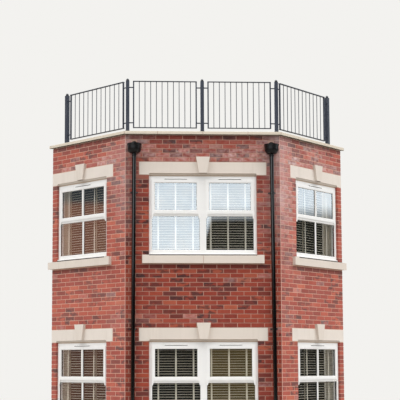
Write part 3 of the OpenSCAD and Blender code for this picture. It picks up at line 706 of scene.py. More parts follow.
def brick_material():
    made, tree, shader = start_material("sanded_brick", 0.86, specular=0.12)
    colour = mottled(tree, tone_ramp(tree, mark(tree, "tone")), 14.0, 0.3, 420.0, 0.3)
    burnt = patches(tree, scale=8.0, detail=3.0, cut=(0.44, 0.55), stretch=(1, 1, 1.8), seed=7.0)
    colour = blend_colour(tree, product(tree, burnt, mark(tree, "smudge")), colour, BURNT)
    colour = layer(tree, DRY_SIDES, colour, Paler=0.42, Salts=srgb("#dcc4bc"), Haze=0.085)
    salts = patches(tree, scale=14.0, detail=5.0, cut=(0.34, 0.72), gives=(0.15, 1.0), stretch=(1, 1, 1.5),
                    seed=2.0)
    colour = blend_colour(tree, product(tree, salts, mark(tree, "bloom")), colour, BLOOM_WHITE)
    colour = layer(tree, LIME_HAZE, colour, Lime=BRICK_LIME, Amount=0.42)
    finish_surface(tree, shader, colour, pores(tree, 380.0, 120.0, 0.35), depth=0.0012, strength=0.7)
    return made


def mortar_material(name, code):
    made, tree, shader = start_material(name, 0.92, specular=0.1)
    colour = mottled(tree, srgb(code), 3.0, 0.25, 600.0, 0.35)
    colour = layer(tree, DRY_SIDES, colour, Paler=0.58, Salts=srgb("#e6cfc6"), Haze=0.08)
    colour = streaked(tree, colour, "#8d7468", amount=0.35, width_scale=9.0)
    colour = layer(tree, LIME_HAZE, colour, Lime=MORTAR_LIME, Amount=0.5)
    finish_surface(tree, shader, colour, pores(tree, 700.0, 220.0, 0.5), depth=0.0015, strength=0.8)
    return made


BRICK = brick_material()
MORTAR = mortar_material("mortar", "#b38c7c")
SEAM = mortar_material("corner_mortar", "#c9a194")
print("made:", BRICK.name, MORTAR.name, SEAM.name)

# %% [markdown]
# ### Cast stone
# Lintels, keystones, sills and coping are cast from crushed stone and white cement. Close to, they
# are finely sanded with small air holes. Rain darkens them a little in upright streaks, dust and
# green growth lie on the tops, and faces that look down are darkened as painted shade. The lintels
# on the canted sides are paler, as painted light, and get less painted shade under them. Keystones
# stand forward, and they and the coping get the darkest painted shade underneath. Dirt and shade
# could be painted on by hand. Here they are worked out from the direction that each face looks in,
# so they lie right on every moulding.

# %% Cast stone material
# The brown of the painted shade under the stones
PALE_STONE, UNDERSIDE_SHADE = "#dfd4c9", "#7a5a35"


def stone_material(name, code, growth, shade_code, under_shade):
    made, tree, shader = start_material(name, 0.8, specular=0.12)
    colour = mottled(tree, srgb(code), 3.5, 0.12, 500.0, 0.12)
    colour = streaked(tree, colour, "#a3917d", amount=0.15, width_scale=14.0)
    # Faces that look down are darkened with painted shade
    colour = layer(tree, UNDERSIDES, colour, Soot=srgb(shade_code), Amount=under_shade)
    colour = layer(tree, DUST, colour, Dust=srgb("#8f8b73"), Amount=growth)
    finish_surface(tree, shader, colour, pores(tree, 500.0, 110.0, 0.6), depth=0.0008, strength=0.6)
    return made


# Each stone has its own amount of painted shade underneath, and the canted lintels are paler as painted light
STONE = stone_material("cast_stone", PALE_STONE, growth=0.3, shade_code=UNDERSIDE_SHADE, under_shade=0.74)
FRONT_LINTEL = stone_material("front_lintel_stone", PALE_STONE, growth=0.3, shade_code=UNDERSIDE_SHADE, under_shade=0.52)
LIT_SIDE_LINTEL = stone_material("lit_side_lintel_stone", "#e4dad0", growth=0.3, shade_code=UNDERSIDE_SHADE, under_shade=0.28)
KEYSTONE = stone_material("keystone_stone", PALE_STONE, growth=0.3, shade_code="#3d2c1c", under_shade=0.98)
COPING = stone_material("coping_stone", "#d9cebd", growth=0.5, shade_code="#3a2a1c", under_shade=1.0)
print("kinds of stone:", len({STONE, FRONT_LINTEL, LIT_SIDE_LINTEL, KEYSTONE, COPING}))

# %% [markdown]
# ### Plastic and rubber
# The windows are white extruded plastic: smooth, a little glossy and slightly dusty on its ledges.
# A plain white would do at first sight, but it would look like paper, so dust also makes it duller
# where it lies. The same material, in other colours, makes the sealant, the blinds and the black
# rainwater goods. The hoppers and outlets are the same plastic as the pipes, but less glossy, as
# painted shade: they hang in the shade under the coping.

# %% Plastic material
DUST_DULLS = 0.5
GRIME, BLACK_DUST = "#6f675c", "#4d4a46"


def plastic_material(name, code, roughness, dust_code, dust, specular=0.3, coat=0.0):
    made, tree, shader = start_material(name, roughness, specular=specular, coat=coat)
    colour = mottled(tree, srgb(code), 2.2, 0.05, 90.0, 0.03)
    colour = streaked(tree, colour, dust_code, amount=dust / 2, width_scale=30.0)
    dusted = use(tree, DUST, Color=colour, Dust=srgb(dust_code), Amount=dust)
    dull = math_node(tree, "ADD", roughness, product(tree, dusted["Mask"], DUST_DULLS))
    connect(tree, shader, {"Roughness": dull})
    finish_surface(tree, shader, dusted["Color"], pores(tree, 60.0, 40.0, 0.0), depth=0.0006, strength=0.25)
    return made


WHITE = plastic_material("window_plastic", "#f3f2f0", 0.28, "#b9b2a2", dust=0.2)
SEALANT = plastic_material("sealant", "#cdb8a3", 0.5, GRIME, dust=0.1)
# Dark mastic and vent slots, made dark partly as painted shade
DARK_FILL_AND_SHADE = plastic_material("dark_fill_and_shade", "#2c2420", 0.7, GRIME, dust=0.1)
# Black seals, partly painted shade along the frames
BLACK_SEAL_AND_SHADE = plastic_material("rubber_seal_and_shade", "#141313", 0.6, BLACK_DUST, dust=0.1)
BLACK = plastic_material("black_plastic", "#070607", 0.12, BLACK_DUST, dust=0.03, specular=0.5, coat=0.4)
# Hoppers and outlets: the pipes' plastic made less glossy, as painted shade
DULL_BLACK = plastic_material("dull_black_plastic", "#060506", 0.28, BLACK_DUST, dust=0.03,
                              specular=0.28)
# The blinds and their strips are one paint in two shades: paler upstairs, as painted light, and darker
# downstairs, as painted shade
SLATS = {"lower": plastic_material("lower_slat_paint_shaded", "#9a927e", 0.45, "#8d8371", dust=0.15),
         "upper": plastic_material("upper_slat_paint_lit", "#c0b8a3", 0.45, "#a89d88", dust=0.15)}
LADDERS = {"lower": plastic_material("lower_ladder_strips_shaded", "#d2cdbd", 0.6, "#b9b2a2", dust=0.1),
           "upper": plastic_material("upper_ladder_strips_lit", "#dfdacb", 0.6, "#c9c1ac", dust=0.1)}
print("materials:", len(bpy.data.materials))

# %% [markdown]
# ### Glass
# A sealed unit mirrors more than a single pane. Real glass would be traced as a solid block that
# lets no lamp light in, so here the pane is a thin mirror film: a polished surface of which only
# a part is solid and the rest is clear. Only the outer face carries it. A face seen from behind has
# its normal turned round, so Backfacing is used to turn it back. The film is there for the eye and
# for other mirrors only. Light that is on its way to the blinds passes it freely, as most of it
# passes real glass. The glass upstairs gets the stronger film, as painted reflection: the glass is
# the same on both storeys, but the upper panes are made to mirror more of the bright sky.

# %% Glass material
THICK_DIRT, DIRT_DULLS, POLISHED = 0.05, 0.2, 0.008


def glass_material(name, mirror):
    made, tree, shader = start_material(name, POLISHED, metallic=1.0)
    clouds = patches(tree, scale=2.5, detail=4.0, cut=(0.3, 0.7), seed=4.0)
    dirt = patches(tree, scale=5.0, detail=6.0, cut=(0.45, 0.8), gives=(0.0, THICK_DIRT), seed=9.0)
    seen = add(tree, "ShaderNodeNewGeometry").outputs
    turned = opposite_of(tree, product(tree, seen["Backfacing"], 2.0))
    outward = product(tree, axes(tree, seen["True Normal"])["Y"], turned)
    ray = add(tree, "ShaderNodeLightPath").outputs
    looked_at = math_node(tree, "MAXIMUM", ray["Is Camera Ray"], ray["Is Glossy Ray"])
    outer_face = math_node(tree, "LESS_THAN", outward, 0.0)
    film = product(tree, outer_face, looked_at, math_node(tree, "ADD", dirt, mirror))
    dull = math_node(tree, "ADD", product(tree, dirt, DIRT_DULLS), POLISHED)
    colour = blend_colour(tree, clouds, srgb("#e4eef5"), srgb("#f2f6f8"))
    connect(tree, shader, {"Base Color": colour, "Alpha": film, "Roughness": dull})
    return made


LOWER_GLASS = glass_material("lower_glass_film", mirror=0.18)
UPPER_GLASS = glass_material("upper_glass_film", mirror=0.42)
print("nodes in the glass:", len(UPPER_GLASS.node_tree.nodes))

# %% [markdown]
# ### Painted steel, plaster and concrete
# The railing is galvanised steel under dark grey paint, with a faint orange-peel texture. Inside,
# walls and ceilings are rolled emulsion over plaster. Blocks, the floor's screed and the deck's
# covering share one gritty finish, with more or fewer pits. Each could have a shader of its own
# kind, but paint hides the metal, so one starter and a fitting bump serve them all.

# %% Steel, plaster and block materials
def steel_material(name, code):
    made, tree, shader = start_material(name, 0.42, specular=0.3)
    colour = mottled(tree, srgb(code), 6.0, 0.2, 160.0, 0.1)
    colour = streaked(tree, colour, "#7d7f83", amount=0.35, width_scale=40.0)
    colour = layer(tree, DUST, colour, Dust=srgb("#9a978f"), Amount=0.55)
    finish_surface(tree, shader, colour, pores(tree, 220.0, 300.0, 0.2), depth=0.0004, strength=0.35)
    return made


def plaster_material(name, code):
    made, tree, shader = start_material(name, 0.75, specular=0.15)
    colour = mottled(tree, srgb(code), 1.2, 0.08, 80.0, 0.04)
    finish_surface(tree, shader, colour, pores(tree, 140.0, 60.0, 0.1), depth=0.0010, strength=0.4)
    return made


def block_material(name, code, pits):
    made, tree, shader = start_material(name, 0.93, specular=0.1)
    colour = mottled(tree, srgb(code), 5.0, 0.2, 260.0, 0.35)
    colour = streaked(tree, colour, "#77726a", amount=0.3, width_scale=8.0)
    finish_surface(tree, shader, colour, pores(tree, 240.0, 150.0, pits), depth=0.0020, strength=0.8)
    return made


STEEL = steel_material("railing_paint", "#343945")
ZINC = steel_material("plated_nuts", "#8f9296")
PLASTER = plaster_material("wall_plaster", "#e5e0d6")
CEILING = plaster_material("ceiling_plaster", "#eeebe4")
BLOCK = block_material("concrete_block", "#a9a59b", pits=0.9)
CONCRETE = block_material("floor_screed", "#a5a199", pits=0.3)
DECK = block_material("deck_membrane", "#878a8d", pits=0.15)
print("materials:", len(bpy.data.materials))

# %% [markdown]
# ### Timber
# Joists and boards are softwood. The grain is noise that is stretched a long way along the wood.
# The floor is one solid in the CAD model, so its joints are worked out from the distance across
# the boards: the whole part of that distance, in boards, numbers them and gives each its own
# shade, and the rest of it tells where the dark joint is.

# %% Timber material
BOARD_JOINT, JOINT_DARK, JOINT_DEEP = 0.018, 0.75, 3.0
BEFORE_FIRST = 10.0


def boards(tree, board_w, shading, height):
    """Gives every board its own shade, and puts a dark, deep joint beside it."""
    from_start = math_node(tree, "ADD", axes(tree, here(tree))["Y"], BEFORE_FIRST)
    distance = math_node(tree, "DIVIDE", from_start, board_w)
    number = math_node(tree, "FLOOR", distance)
    gap = math_node(tree, "LESS_THAN", math_node(tree, "FRACT", distance), BOARD_JOINT)
    own = add(tree, "ShaderNodeTexWhiteNoise", {"W": number}, noise_dimensions="1D").outputs["Value"]
    dark = opposite_of(tree, product(tree, gap, JOINT_DARK))
    shading = product(tree, shading, spread(tree, own, 0.0, 1.0, 0.82, 1.06), dark)
    return shading, math_node(tree, "SUBTRACT", height, product(tree, gap, JOINT_DEEP))


def timber_material(name, code, dark_code, board_w=0.0):
    """Softwood with its grain along x, in one piece or in boards of a width."""
    made, tree, shader = start_material(name, 0.62, specular=0.2)
    grain = noise(tree, scale=1.0, detail=5.0, stretch=(1.3, 34.0, 34.0))
    fibres = noise(tree, scale=1.0, detail=3.0, stretch=(9.0, 320.0, 320.0), seed=1.0)
    colour = blend_colour(tree, spread(tree, grain, 0.35, 0.65), srgb(code), srgb(dark_code))
    shading, height = spread(tree, fibres, 0.3, 0.7, 0.85, 1.08), math_node(tree, "ADD", grain, fibres)
    if board_w:
        shading, height = boards(tree, board_w, shading, height)
    finish_surface(tree, shader, shade(tree, colour, shading), height, depth=0.0006, strength=0.6)
    return made


JOISTS = timber_material("joist_timber", "#c79f68", "#a87c48")
BOARDS = timber_material("floor_boards", "#c8a470", "#a9824f", board_w=0.14)
print("materials:", len(bpy.data.materials))

# %% [markdown]
# ## Finishes for the CAD pieces
# Most CAD pieces are right as they are and only need a finish. Each could be picked by hand, but
# one table of finishes shows at a glance what is made of what. A piece's material slots are filled
# here, and its mesh stays untouched.

# %% CAD finishes
FINISHES = {
    STONE: [side + "_sills" for side in SIDES],
    FRONT_LINTEL: ["front_lintels"],
    LIT_SIDE_LINTEL: ["left_lintels", "right_lintels"],
    KEYSTONE: ["keystones"],
    COPING: [side + "_coping" for side in SIDES],
    WHITE: [storey + "_" + side + "_frame" for storey in STOREYS for side in SIDES]
           + ["lower_sashes", "upper_sashes", "window_boards"],
    UPPER_GLASS: ["upper_glass"],
    LOWER_GLASS: ["lower_glass"],
    PLASTER: [side + "_inner_leaf" for side in SIDES],
    CEILING: ["ceilings"],
    CONCRETE: ["ground_floor"],
    DECK: ["balcony_deck"],
    JOISTS: ["first_floor_joists", "roof_joists"],
    BOARDS: ["first_floor_boards"],
    STEEL: ["railing_posts", "front_left_panel", "front_right_panel", "left_panel", "right_panel"],
    BLACK: ["post_caps", "downpipes", "pipe_clips"],
    # The lower gloss of the hoppers and outlets is painted shade
    DULL_BLACK: ["hoppers", "outlet_pipes"],
}
for finish, names in FINISHES.items():
    for name in names:
        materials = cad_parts[name].data.materials
        materials.clear()
        materials.append(finish)
print("finished CAD pieces:", sum(len(names) for names in FINISHES.values()))

# %% [markdown]
# ## Brickwork
# The walls are laid in stretcher bond: every brick shows its long side, and each course is
# shifted by half a brick. A flat picture of bricks would have no depth at the windows and corners,
# so every brick is a real solid here, cut where real ones are cut: at the openings, round the
# stones, and to a slant at the bay's corners. The joints are bucket-handle joints, 4 mm deep.
# The bricks' faces lie in the plane of the CAD wall, and the mortar behind them is a copy of that
# wall with its face moved back.

# %% Bond and courses
COURSE, JOINT, RECESS, BRICK_D = 0.075, 0.010, 0.004, 0.100
# A whole number of bricks or half bricks fits in each window opening
BRICKS_WIDE = {"front": 8, "left": 5.5, "right": 5.5}
PITCH = {side: clean(OPENINGS[side][1] - JOINT) / count for side, count in BRICKS_WIDE.items()}
DATUM = {side: x0 + JOINT / 2 for side, (x0, _, _) in OPENINGS.items()}
COURSES = round(WALL_H / COURSE)
# The bricks stay this far from the bay's corners, and one shorter than this joins its neighbour
CORNER, SMALLEST = 0.004, 0.045
# Heights of lintels and sills, how far a sill runs on, and a keystone's half width and its courses
LINTEL_H, SILL_H, SILL_PAST, KEY_HALF, KEY_COURSES = 0.215, 0.140, 0.110, 0.115, 4
# The outlets that run through the parapet, and half the width and height left open for each
OUTLET_X, OUTLET_Z, OUTLET_HALF_W, OUTLET_HALF_H = 1.150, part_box("balcony_deck")[1].z, 0.052, 0.050


def cut_outs(side):
    """Rectangles of a face that no brick may enter: x0, x1, z0, z1."""
    x0, width, bearing = OPENINGS[side]
    x1 = x0 + width

    def stone(past, low, high):
        """Room for a stone that runs on past the opening, on a canted side to the wall's end."""
        far = x1 + (past + JOINT) if side == "front" else 2 * CANT_L
        return x0 - past - JOINT, far, low, high

    found = []
    for sill in SILLS:
        head, middle = sill + OPENING_H, (x0 + x1) / 2
        top = head + LINTEL_H
        key = (middle - KEY_HALF - JOINT, middle + KEY_HALF + JOINT, top, head + KEY_COURSES * COURSE)
        found += [(x0, x1, sill, head), stone(bearing, head, top), key, stone(SILL_PAST, sill - SILL_H, sill)]
    if side == "front":
        for x in (FACE_W / 2 - OUTLET_X, FACE_W / 2 + OUTLET_X):
            found.append((x - OUTLET_HALF_W, x + OUTLET_HALF_W,
                          OUTLET_Z - OUTLET_HALF_H, OUTLET_Z + OUTLET_HALF_H))
    return found


def cut_span(pieces, x0, x1):
    """Takes the span from x0 to x1 out of a list of bricks, each a start and an end."""
    kept = []
    for a, b in pieces:
        if b <= x0 or a >= x1:
            kept.append((a, b))
            continue
        if a < x0:
            kept.append((a, x0))
        if b > x1:
            kept.append((x1, b))
    return kept


def join_slivers(pieces):
    """Slivers aren't laid: the brick beside one is cut longer instead."""
    joined = []
    for a, b in pieces:
        beside = joined and a - joined[-1][1] < 1.5 * JOINT
        if beside and min(b - a, joined[-1][1] - joined[-1][0]) < SMALLEST:
            joined[-1] = (joined[-1][0], b)
        else:
            joined.append((a, b))
    return [(a, b) for a, b in joined if b - a > SMALLEST / 2]


def lay_course(side, number):
    """The bricks of one course, as starts and ends along the face."""
    z0, z1 = number * COURSE, number * COURSE + COURSE - JOINT
    first, last = CORNER, LENGTHS[side] - CORNER
    pitch, start = PITCH[side], DATUM[side] + (number % 2) * PITCH[side] / 2
    begin = math.floor((first - start) / pitch)
    pieces = []
    for i in range(begin, begin + math.ceil(last / pitch) + 2):
        a, b = start + i * pitch + JOINT / 2, start + (i + 1) * pitch - JOINT / 2
        if b > first and a < last:
            pieces.append((max(a, first), min(b, last)))
    for x0, x1, low, high in cut_outs(side):
        if low < z1 and high > z0:
            pieces = cut_span(pieces, x0, x1)
    return join_slivers(pieces), z0, z1


print("courses:", COURSES, "bricks in the first:", len(lay_course("front", 0)[0]))

# %% [markdown]
# One brick is three outlines: the face, drawn in a little because its edges are worn, the full
# outline just behind it, and the back. Small random shifts make the edges uneven, and each brick
# is set back by a hair of its own.

# %% One brick
# The points of a brick's outline, as shares of its length and its height
U = np.array([0, 0.25, 0.5, 0.75, 1, 1, 1, 0.75, 0.5, 0.25, 0, 0])
V = np.array([0, 0, 0, 0, 0, 0.5, 1, 1, 1, 1, 1, 0.5])
WORN, SET_BACK, FACE_UNEVEN, BODY_UNEVEN = 0.0028, 0.0012, 0.0007, 0.0008
# A brick that comes this close to the end of its face is cut to the slant of that end
TOUCHING = 1e-6
END_SLOPE = {"front": MITRE, "left": 1 / math.tan(TURN), "right": 1 / math.tan(TURN)}


def brick_rings(side, a, b, z0, z1, rng):
    """Three outlines of one brick, with slanted ends at both ends of the face."""
    start_slope = MITRE if side in OPENINGS and a <= CORNER + TOUCHING else 0.0
    end_slope = END_SLOPE.get(side, 0.0) if b >= LENGTHS[side] - CORNER - TOUCHING else 0.0
    face = rng.uniform(0.0, SET_BACK)
    outlines = ((face, WORN, FACE_UNEVEN), (face + WORN, 0.0, BODY_UNEVEN), (BRICK_D, 0.0, 0.0))
    rings = []
    for depth, drawn_in, uneven in outlines:
        x0, x1 = a + depth * start_slope + drawn_in, b - depth * end_slope - drawn_in
        shifts = rng.uniform(-uneven, uneven, (2, len(U)))
        heights = z0 + drawn_in + (z1 - z0 - 2 * drawn_in) * V + shifts[1]
        lengths = x0 + (x1 - x0) * U + shifts[0]
        rings.append(np.column_stack((lengths, np.full(len(U), depth), np.maximum(heights, 0.0))))
    return rings


rings = brick_rings("front", CORNER, CORNER + PITCH["front"], 0, COURSE - JOINT, np.random.default_rng(0))
print("points in a brick:", sum(len(ring) for ring in rings))

# %% [markdown]
# The tone of each brick is drawn at random with a fixed seed. Some bricks are burnt dark all over,
# and more of them are smudged. Those right under the coping or a sill are darker, as painted shade
# under the stone. Bloom is likelier near the places that stay wet, which are listed as ovals on the faces.

# %% Lay the bricks
WALL_SEED = 11
TONE, TONE_SWING = 0.53, 0.17
# Shares of bricks that are burnt dark, that are smudged, and that have bloom far from any wet place
DARK_BRICKS, SMUDGED, STRAYS = 0.04, 0.32, 0.03
# How dark burnt bricks and the painted shade under stones are, how strong smudges are on dry, canted faces
BURNT_TONE, UNDER_STONE_SHADE, DRY_SMUDGE = 0.25, 0.4, 0.95
STRONG_SMUDGE, FAINT_SMUDGE = (0.4, 0.9), (0.0, 0.1)
BLOOM_ANYWHERE, BLOOM_SWING, STRAY_BLOOM = 0.03, (0.5, 1.3), 0.3
# Ovals of white bloom on each face: x, z, half width, half height, strength
BLOOM = {
    "front": [(2.56, 4.70, 0.10, 0.80, 0.25), (0.04, 4.85, 0.08, 0.60, 0.20), (0.15, 5.50, 0.26, 0.20, 0.50),
              (2.45, 5.42, 0.26, 0.25, 0.70), (0.75, 5.30, 0.45, 0.08, 0.65), (1.75, 5.30, 0.50, 0.10, 0.75),
              (1.25, 2.56, 0.20, 0.06, 0.30), (0.30, 2.62, 0.25, 0.10, 0.20), (1.30, 5.48, 1.00, 0.12, 0.22),
              (2.32, 4.35, 0.10, 0.45, 0.25)],
    "right": [(0.14, 4.60, 0.24, 0.85, 0.60), (0.45, 5.28, 0.30, 0.09, 1.00), (1.45, 5.24, 0.35, 0.10, 0.80),
              (1.00, 5.48, 0.45, 0.16, 0.50), (0.30, 3.60, 0.25, 0.40, 0.20), (0.20, 2.55, 0.20, 0.25, 0.20)],
    "left": [(0.10, 4.85, 0.16, 0.50, 0.40), (0.50, 5.28, 0.30, 0.08, 0.80), (1.45, 5.24, 0.30, 0.08, 0.50),
             (0.40, 5.02, 0.14, 0.10, 0.60), (0.35, 5.48, 0.12, 0.08, 0.60), (0.20, 2.55, 0.20, 0.20, 0.30)],
}


def bloom_at(side, x, z):
    """How much white bloom a place has, from 0 to 1."""
    total = BLOOM_ANYWHERE
    for cx, cz, rx, rz, strength in BLOOM[side]:
        total += strength * math.exp(-((x - cx) / rx) ** 2 - ((z - cz) / rz) ** 2)
    return min(total, 1.0)


def under_stone(side, x, z1):
    """Whether a brick lies right under the coping or a window sill, where it gets painted shade."""
    x0, width, _ = OPENINGS[side]
    below_sill = any(0 < sill - SILL_H - z1 < COURSE / 2 for sill in SILLS)
    return z1 > WALL_H - COURSE or (below_sill and x0 - SILL_PAST < x < x0 + width + SILL_PAST)


def share(value):
    return float(np.clip(value, 0, 1))


def draw_marks(side, a, b, z0, z1, rng):
    """The tone, smudge and bloom of one brick, each from 0 to 1."""
    middle = (a + b) / 2
    tone = share(rng.normal(TONE, TONE_SWING))
    if rng.uniform() < DARK_BRICKS:
        tone *= BURNT_TONE
    # Painted shade on bricks under the coping or a sill
    if under_stone(side, middle, z1):
        tone *= UNDER_STONE_SHADE
    # Twice as many bricks are smudged on the left of the upper front window
    smudged = 2 * SMUDGED if side == "front" and b < DATUM[side] and z0 > SILLS[1] else SMUDGED
    smudge = float(rng.uniform(*STRONG_SMUDGE if rng.uniform() < smudged else FAINT_SMUDGE))
    if side != "front":
        smudge *= DRY_SMUDGE
    wet = bloom_at(side, middle, z0)
    bloom = share(wet * rng.uniform(*BLOOM_SWING) + (rng.uniform() < STRAYS) * STRAY_BLOOM)
    return {"tone": tone, "smudge": smudge, "bloom": bloom}


def lay_wall(side, seed):
    """All the bricks of one face, in one mesh, each with its marks."""
    rng = np.random.default_rng(seed)
    bricks = Batch()
    for number in range(COURSES):
        pieces, z0, z1 = lay_course(side, number)
        for a, b in pieces:
            marks = draw_marks(side, a, b, z0, z1, rng)
            bricks.loft(side, brick_rings(side, a, b, z0, z1, rng), **marks)
    return bricks


for index, side in enumerate(SIDES):
    lay_wall(side, WALL_SEED + index).piece(side + "_bricks", BRICK, "brick", (side + "_wall",))

# %% [markdown]
# ### Mortar
# Every joint could be a solid of its own, which would be thousands more. The mortar is a copy of
# the CAD wall instead. Its face moves back by the depth of a joint, along the slanted ends, and so
# do the sides of the window openings. The bricks stand in it and leave just the joints to see.

# %% Mortar
# How close a corner of the mesh has to be to an edge or to the face to lie on it
ON_EDGE, ON_FACE = 1e-3, 1e-4


def mortar_mesh(side):
    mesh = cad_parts[side + "_wall"].data.copy()
    x, y, z = to_face(side, [v.co for v in mesh.vertices]).T
    on_face = np.abs(y) < ON_FACE
    at_start = on_face & (np.abs(x) < ON_EDGE)
    at_end = on_face & (np.abs(x - LENGTHS[side]) < ON_EDGE)
    x0, width, _ = OPENINGS[side]
    for edge, way in ((x0, -1), (x0 + width, 1)):
        for sill in SILLS:
            beside = (z > sill - ON_EDGE) & (z < sill + OPENING_H + ON_EDGE)
            x[beside & (np.abs(x - edge) < ON_EDGE)] += way * RECESS
    x[at_start] += RECESS * MITRE
    x[at_end] -= RECESS * END_SLOPE[side]
    y[on_face] = RECESS
    mesh.vertices.foreach_set("co", to_world(side, np.column_stack((x, y, z))).astype(np.float32).ravel())
    mesh.materials.clear()
    mesh.update()
    return mesh


for side in SIDES:
    finish_piece(side + "_mortar", mortar_mesh(side), [MORTAR], (side + "_wall",))
    print(side, "mortar", RECESS * 1000, "mm behind the face")

# %% [markdown]
# Where the front meets a canted side the joint is filled to the edge, which shows as a thin, pale,
# upright line. Both flanks of this seam lie a little behind the faces of the bricks that it joins.

# %% Corner seams
FLANK_X, FLANK_IN, TIP_X, TIP_IN = CORNER + 0.002, 0.0015, 0.0005, 0.0010
SEAM_DEEP, BELOW_COPING = 0.012, 0.002


def seam_rings(side):
    """The foot and the top of the seam between the front and one canted side."""
    front_x = FLANK_X if side == "left" else FACE_W - FLANK_X
    flank, tip, back = to_world(side, [(FLANK_X, FLANK_IN, 0), (TIP_X, TIP_IN, 0), (FLANK_X, SEAM_DEEP, 0)])
    front_flank, front_back = to_world("front", [(front_x, FLANK_IN, 0), (front_x, SEAM_DEEP, 0)])
    outline = np.array([flank, tip, front_flank, front_back, back])
    return [to_face("front", outline + (0, 0, z)) for z in (0.0, WALL_H - BELOW_COPING)]


seams = Batch()
for side in CANTED:
    seams.loft("front", seam_rings(side))
seams.piece("corner_seams", SEAM, "brick")

# %% [markdown]
# ### The cut ends
# At both sides the bay ends in a short pier that is cut straight through. The cut shows what such a
# wall is made of: the brick leaf outside, then blockwork that closes the cavity. They are laid with
# the same function as the faces. The pier itself is plastered on the room's side and shows mortar
# on the cut side.

# %% Cut ends
END_SEED, END_IN = 31, 0.003
END_BRICK = (END_IN, clean(END_IN + BRICK_D))
END_BLOCK = (clean(END_BRICK[1] + JOINT), WALL_T - END_IN)
BLOCK_COURSE = 0.225
END_TONE, END_TONE_SWING, END_SMUDGE, END_BLOOM = 0.5, 0.2, (0, 0.4), 0.1
# A face looks outwards or upwards if its direction is at least this near to straight
STRAIGHT = 0.9


def end_bricks(side, rng):
    """The heads of the bricks of the outer leaf, one in each course."""
    batch = Batch()
    for number in range(COURSES):
        z0 = number * COURSE
        rings = brick_rings(side + "_end", *END_BRICK, z0, z0 + COURSE - JOINT, rng)
        tone = share(rng.normal(END_TONE, END_TONE_SWING))
        batch.loft(side + "_end", rings, tone=tone, smudge=float(rng.uniform(*END_SMUDGE)), bloom=END_BLOOM)
    return batch


def end_blocks(side, rng):
    batch = Batch()
    for number in range(math.ceil((WALL_H - JOINT) / BLOCK_COURSE)):
        z0 = number * BLOCK_COURSE
        z1 = min(z0 + BLOCK_COURSE - JOINT, WALL_H - BELOW_COPING)
        batch.loft(side + "_end", brick_rings(side + "_end", *END_BLOCK, z0, z1, rng))
    return batch


def end_wall(side):
    """The cut wall behind them, with its cut face moved back as the mortar's is."""
    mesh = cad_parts[side + "_return"].data.copy()
    for vertex in mesh.vertices:
        if abs(abs(vertex.co.x) - SIDE_X) < ON_FACE:
            vertex.co.x -= math.copysign(RECESS, vertex.co.x)
    mesh.materials.clear()
    finish_piece(side + "_end_wall", mesh, [PLASTER, MORTAR], (side + "_return",))
    for polygon in mesh.polygons:
        outward = polygon.normal.x * (-1 if side == "left" else 1)
        polygon.material_index = int(outward > STRAIGHT or polygon.normal.z > STRAIGHT)
    mesh.update()


for index, side in enumerate(CANTED):
    rng = np.random.default_rng(END_SEED + index)
    ends, blocks = end_bricks(side, rng), end_blocks(side, rng)
    ends.piece(side + "_end_bricks", BRICK, "brick", (side + "_return",))
    blocks.piece(side + "_end_blocks", BLOCK, "block", (side + "_return",))
    end_wall(side)

# %% [markdown]
# ## Sealant round the windows
# A frame is never a tight fit. The gap at its sides and head is closed with a bead of sealant,
# tooled hollow. Without it, light would show through the gaps. A curve with a round bevel could
# make a bead too, but a lofted profile has just the hollow face that a finger leaves.

# %% Sealant
BEAD_FACE, BEAD_BACK, BEAD_HOLLOW = FRAME_FACE + 0.003, FRAME_FACE + 0.014, 0.0016
ABOVE_SILL = 0.002


def hollow(width):
    """Profile across a bead: x across the gap, y in depth, hollow in front."""
    front = [(width * t, BEAD_FACE + BEAD_HOLLOW * math.sin(math.pi * t)) for t in np.linspace(0, 1, 7)]
    return front + [(width, BEAD_BACK), (0.0, BEAD_BACK)]


def bead(batch, side, sill):
    """The beads round one window: one up each side and one along the head."""
    x0, width, _ = OPENINGS[side]
    frame_top = sill + OPENING_H - HEAD_GAP
    for start in (x0, x0 + width - SIDE_GAP):
        outlines = [[(start + x, y, z) for x, y in hollow(SIDE_GAP)] for z in (sill + ABOVE_SILL, frame_top)]
        batch.loft(side, outlines)
    batch.loft(side, bar([(y, frame_top + x) for x, y in hollow(HEAD_GAP)], x0, x0 + width))


sealant = Batch()
for side in SIDES:
    for sill in SILLS:
        bead(sealant, side, sill)
sealant.piece("sealant_beads", SEALANT, "upvc")

# %% [markdown]
# Under a frame lies a bed of mastic. It is made dark, partly as painted shade for the gap under the
# frame's nose, and shows as a dark line above the stone sill. Each light has a trickle vent in its
# head. Its hood hides a dark slot with a fine mesh. From the front only the slot is seen, so a dark
# bar is enough and the mesh needn't be made. The bar is partly painted shade for the hood's shadow.

# %% Bedding and vent slots
BED_LAP, BED_DEEP, BED_RISE, BED_SLACK = 0.0015, 0.015, 0.011, 0.009
VENT_DROP, VENT_H, SLOT_L, SLOT_H, SLOT_DEEP, SLOT_OFF = 0.0365, 0.020, 0.374, 0.007, 0.0125, 0.0004


def bed(batch, side, sill):
    """Dark mastic between a frame's nose and the stone, partly painted shade. Its foot follows the slope of
    the sill.
    """
    x0, width, _ = OPENINGS[side]
    front = FRAME_FACE - CILL_OUT - BED_LAP
    back = FRAME_FACE - CILL_OUT + BED_DEEP
    profile = [(front, sill - BED_SLACK), (back, sill - BED_SLACK / 2), (back, sill + BED_RISE),
               (front, sill + BED_RISE)]
    batch.loft(side, bar(profile, x0 + SIDE_GAP, x0 + width - SIDE_GAP))


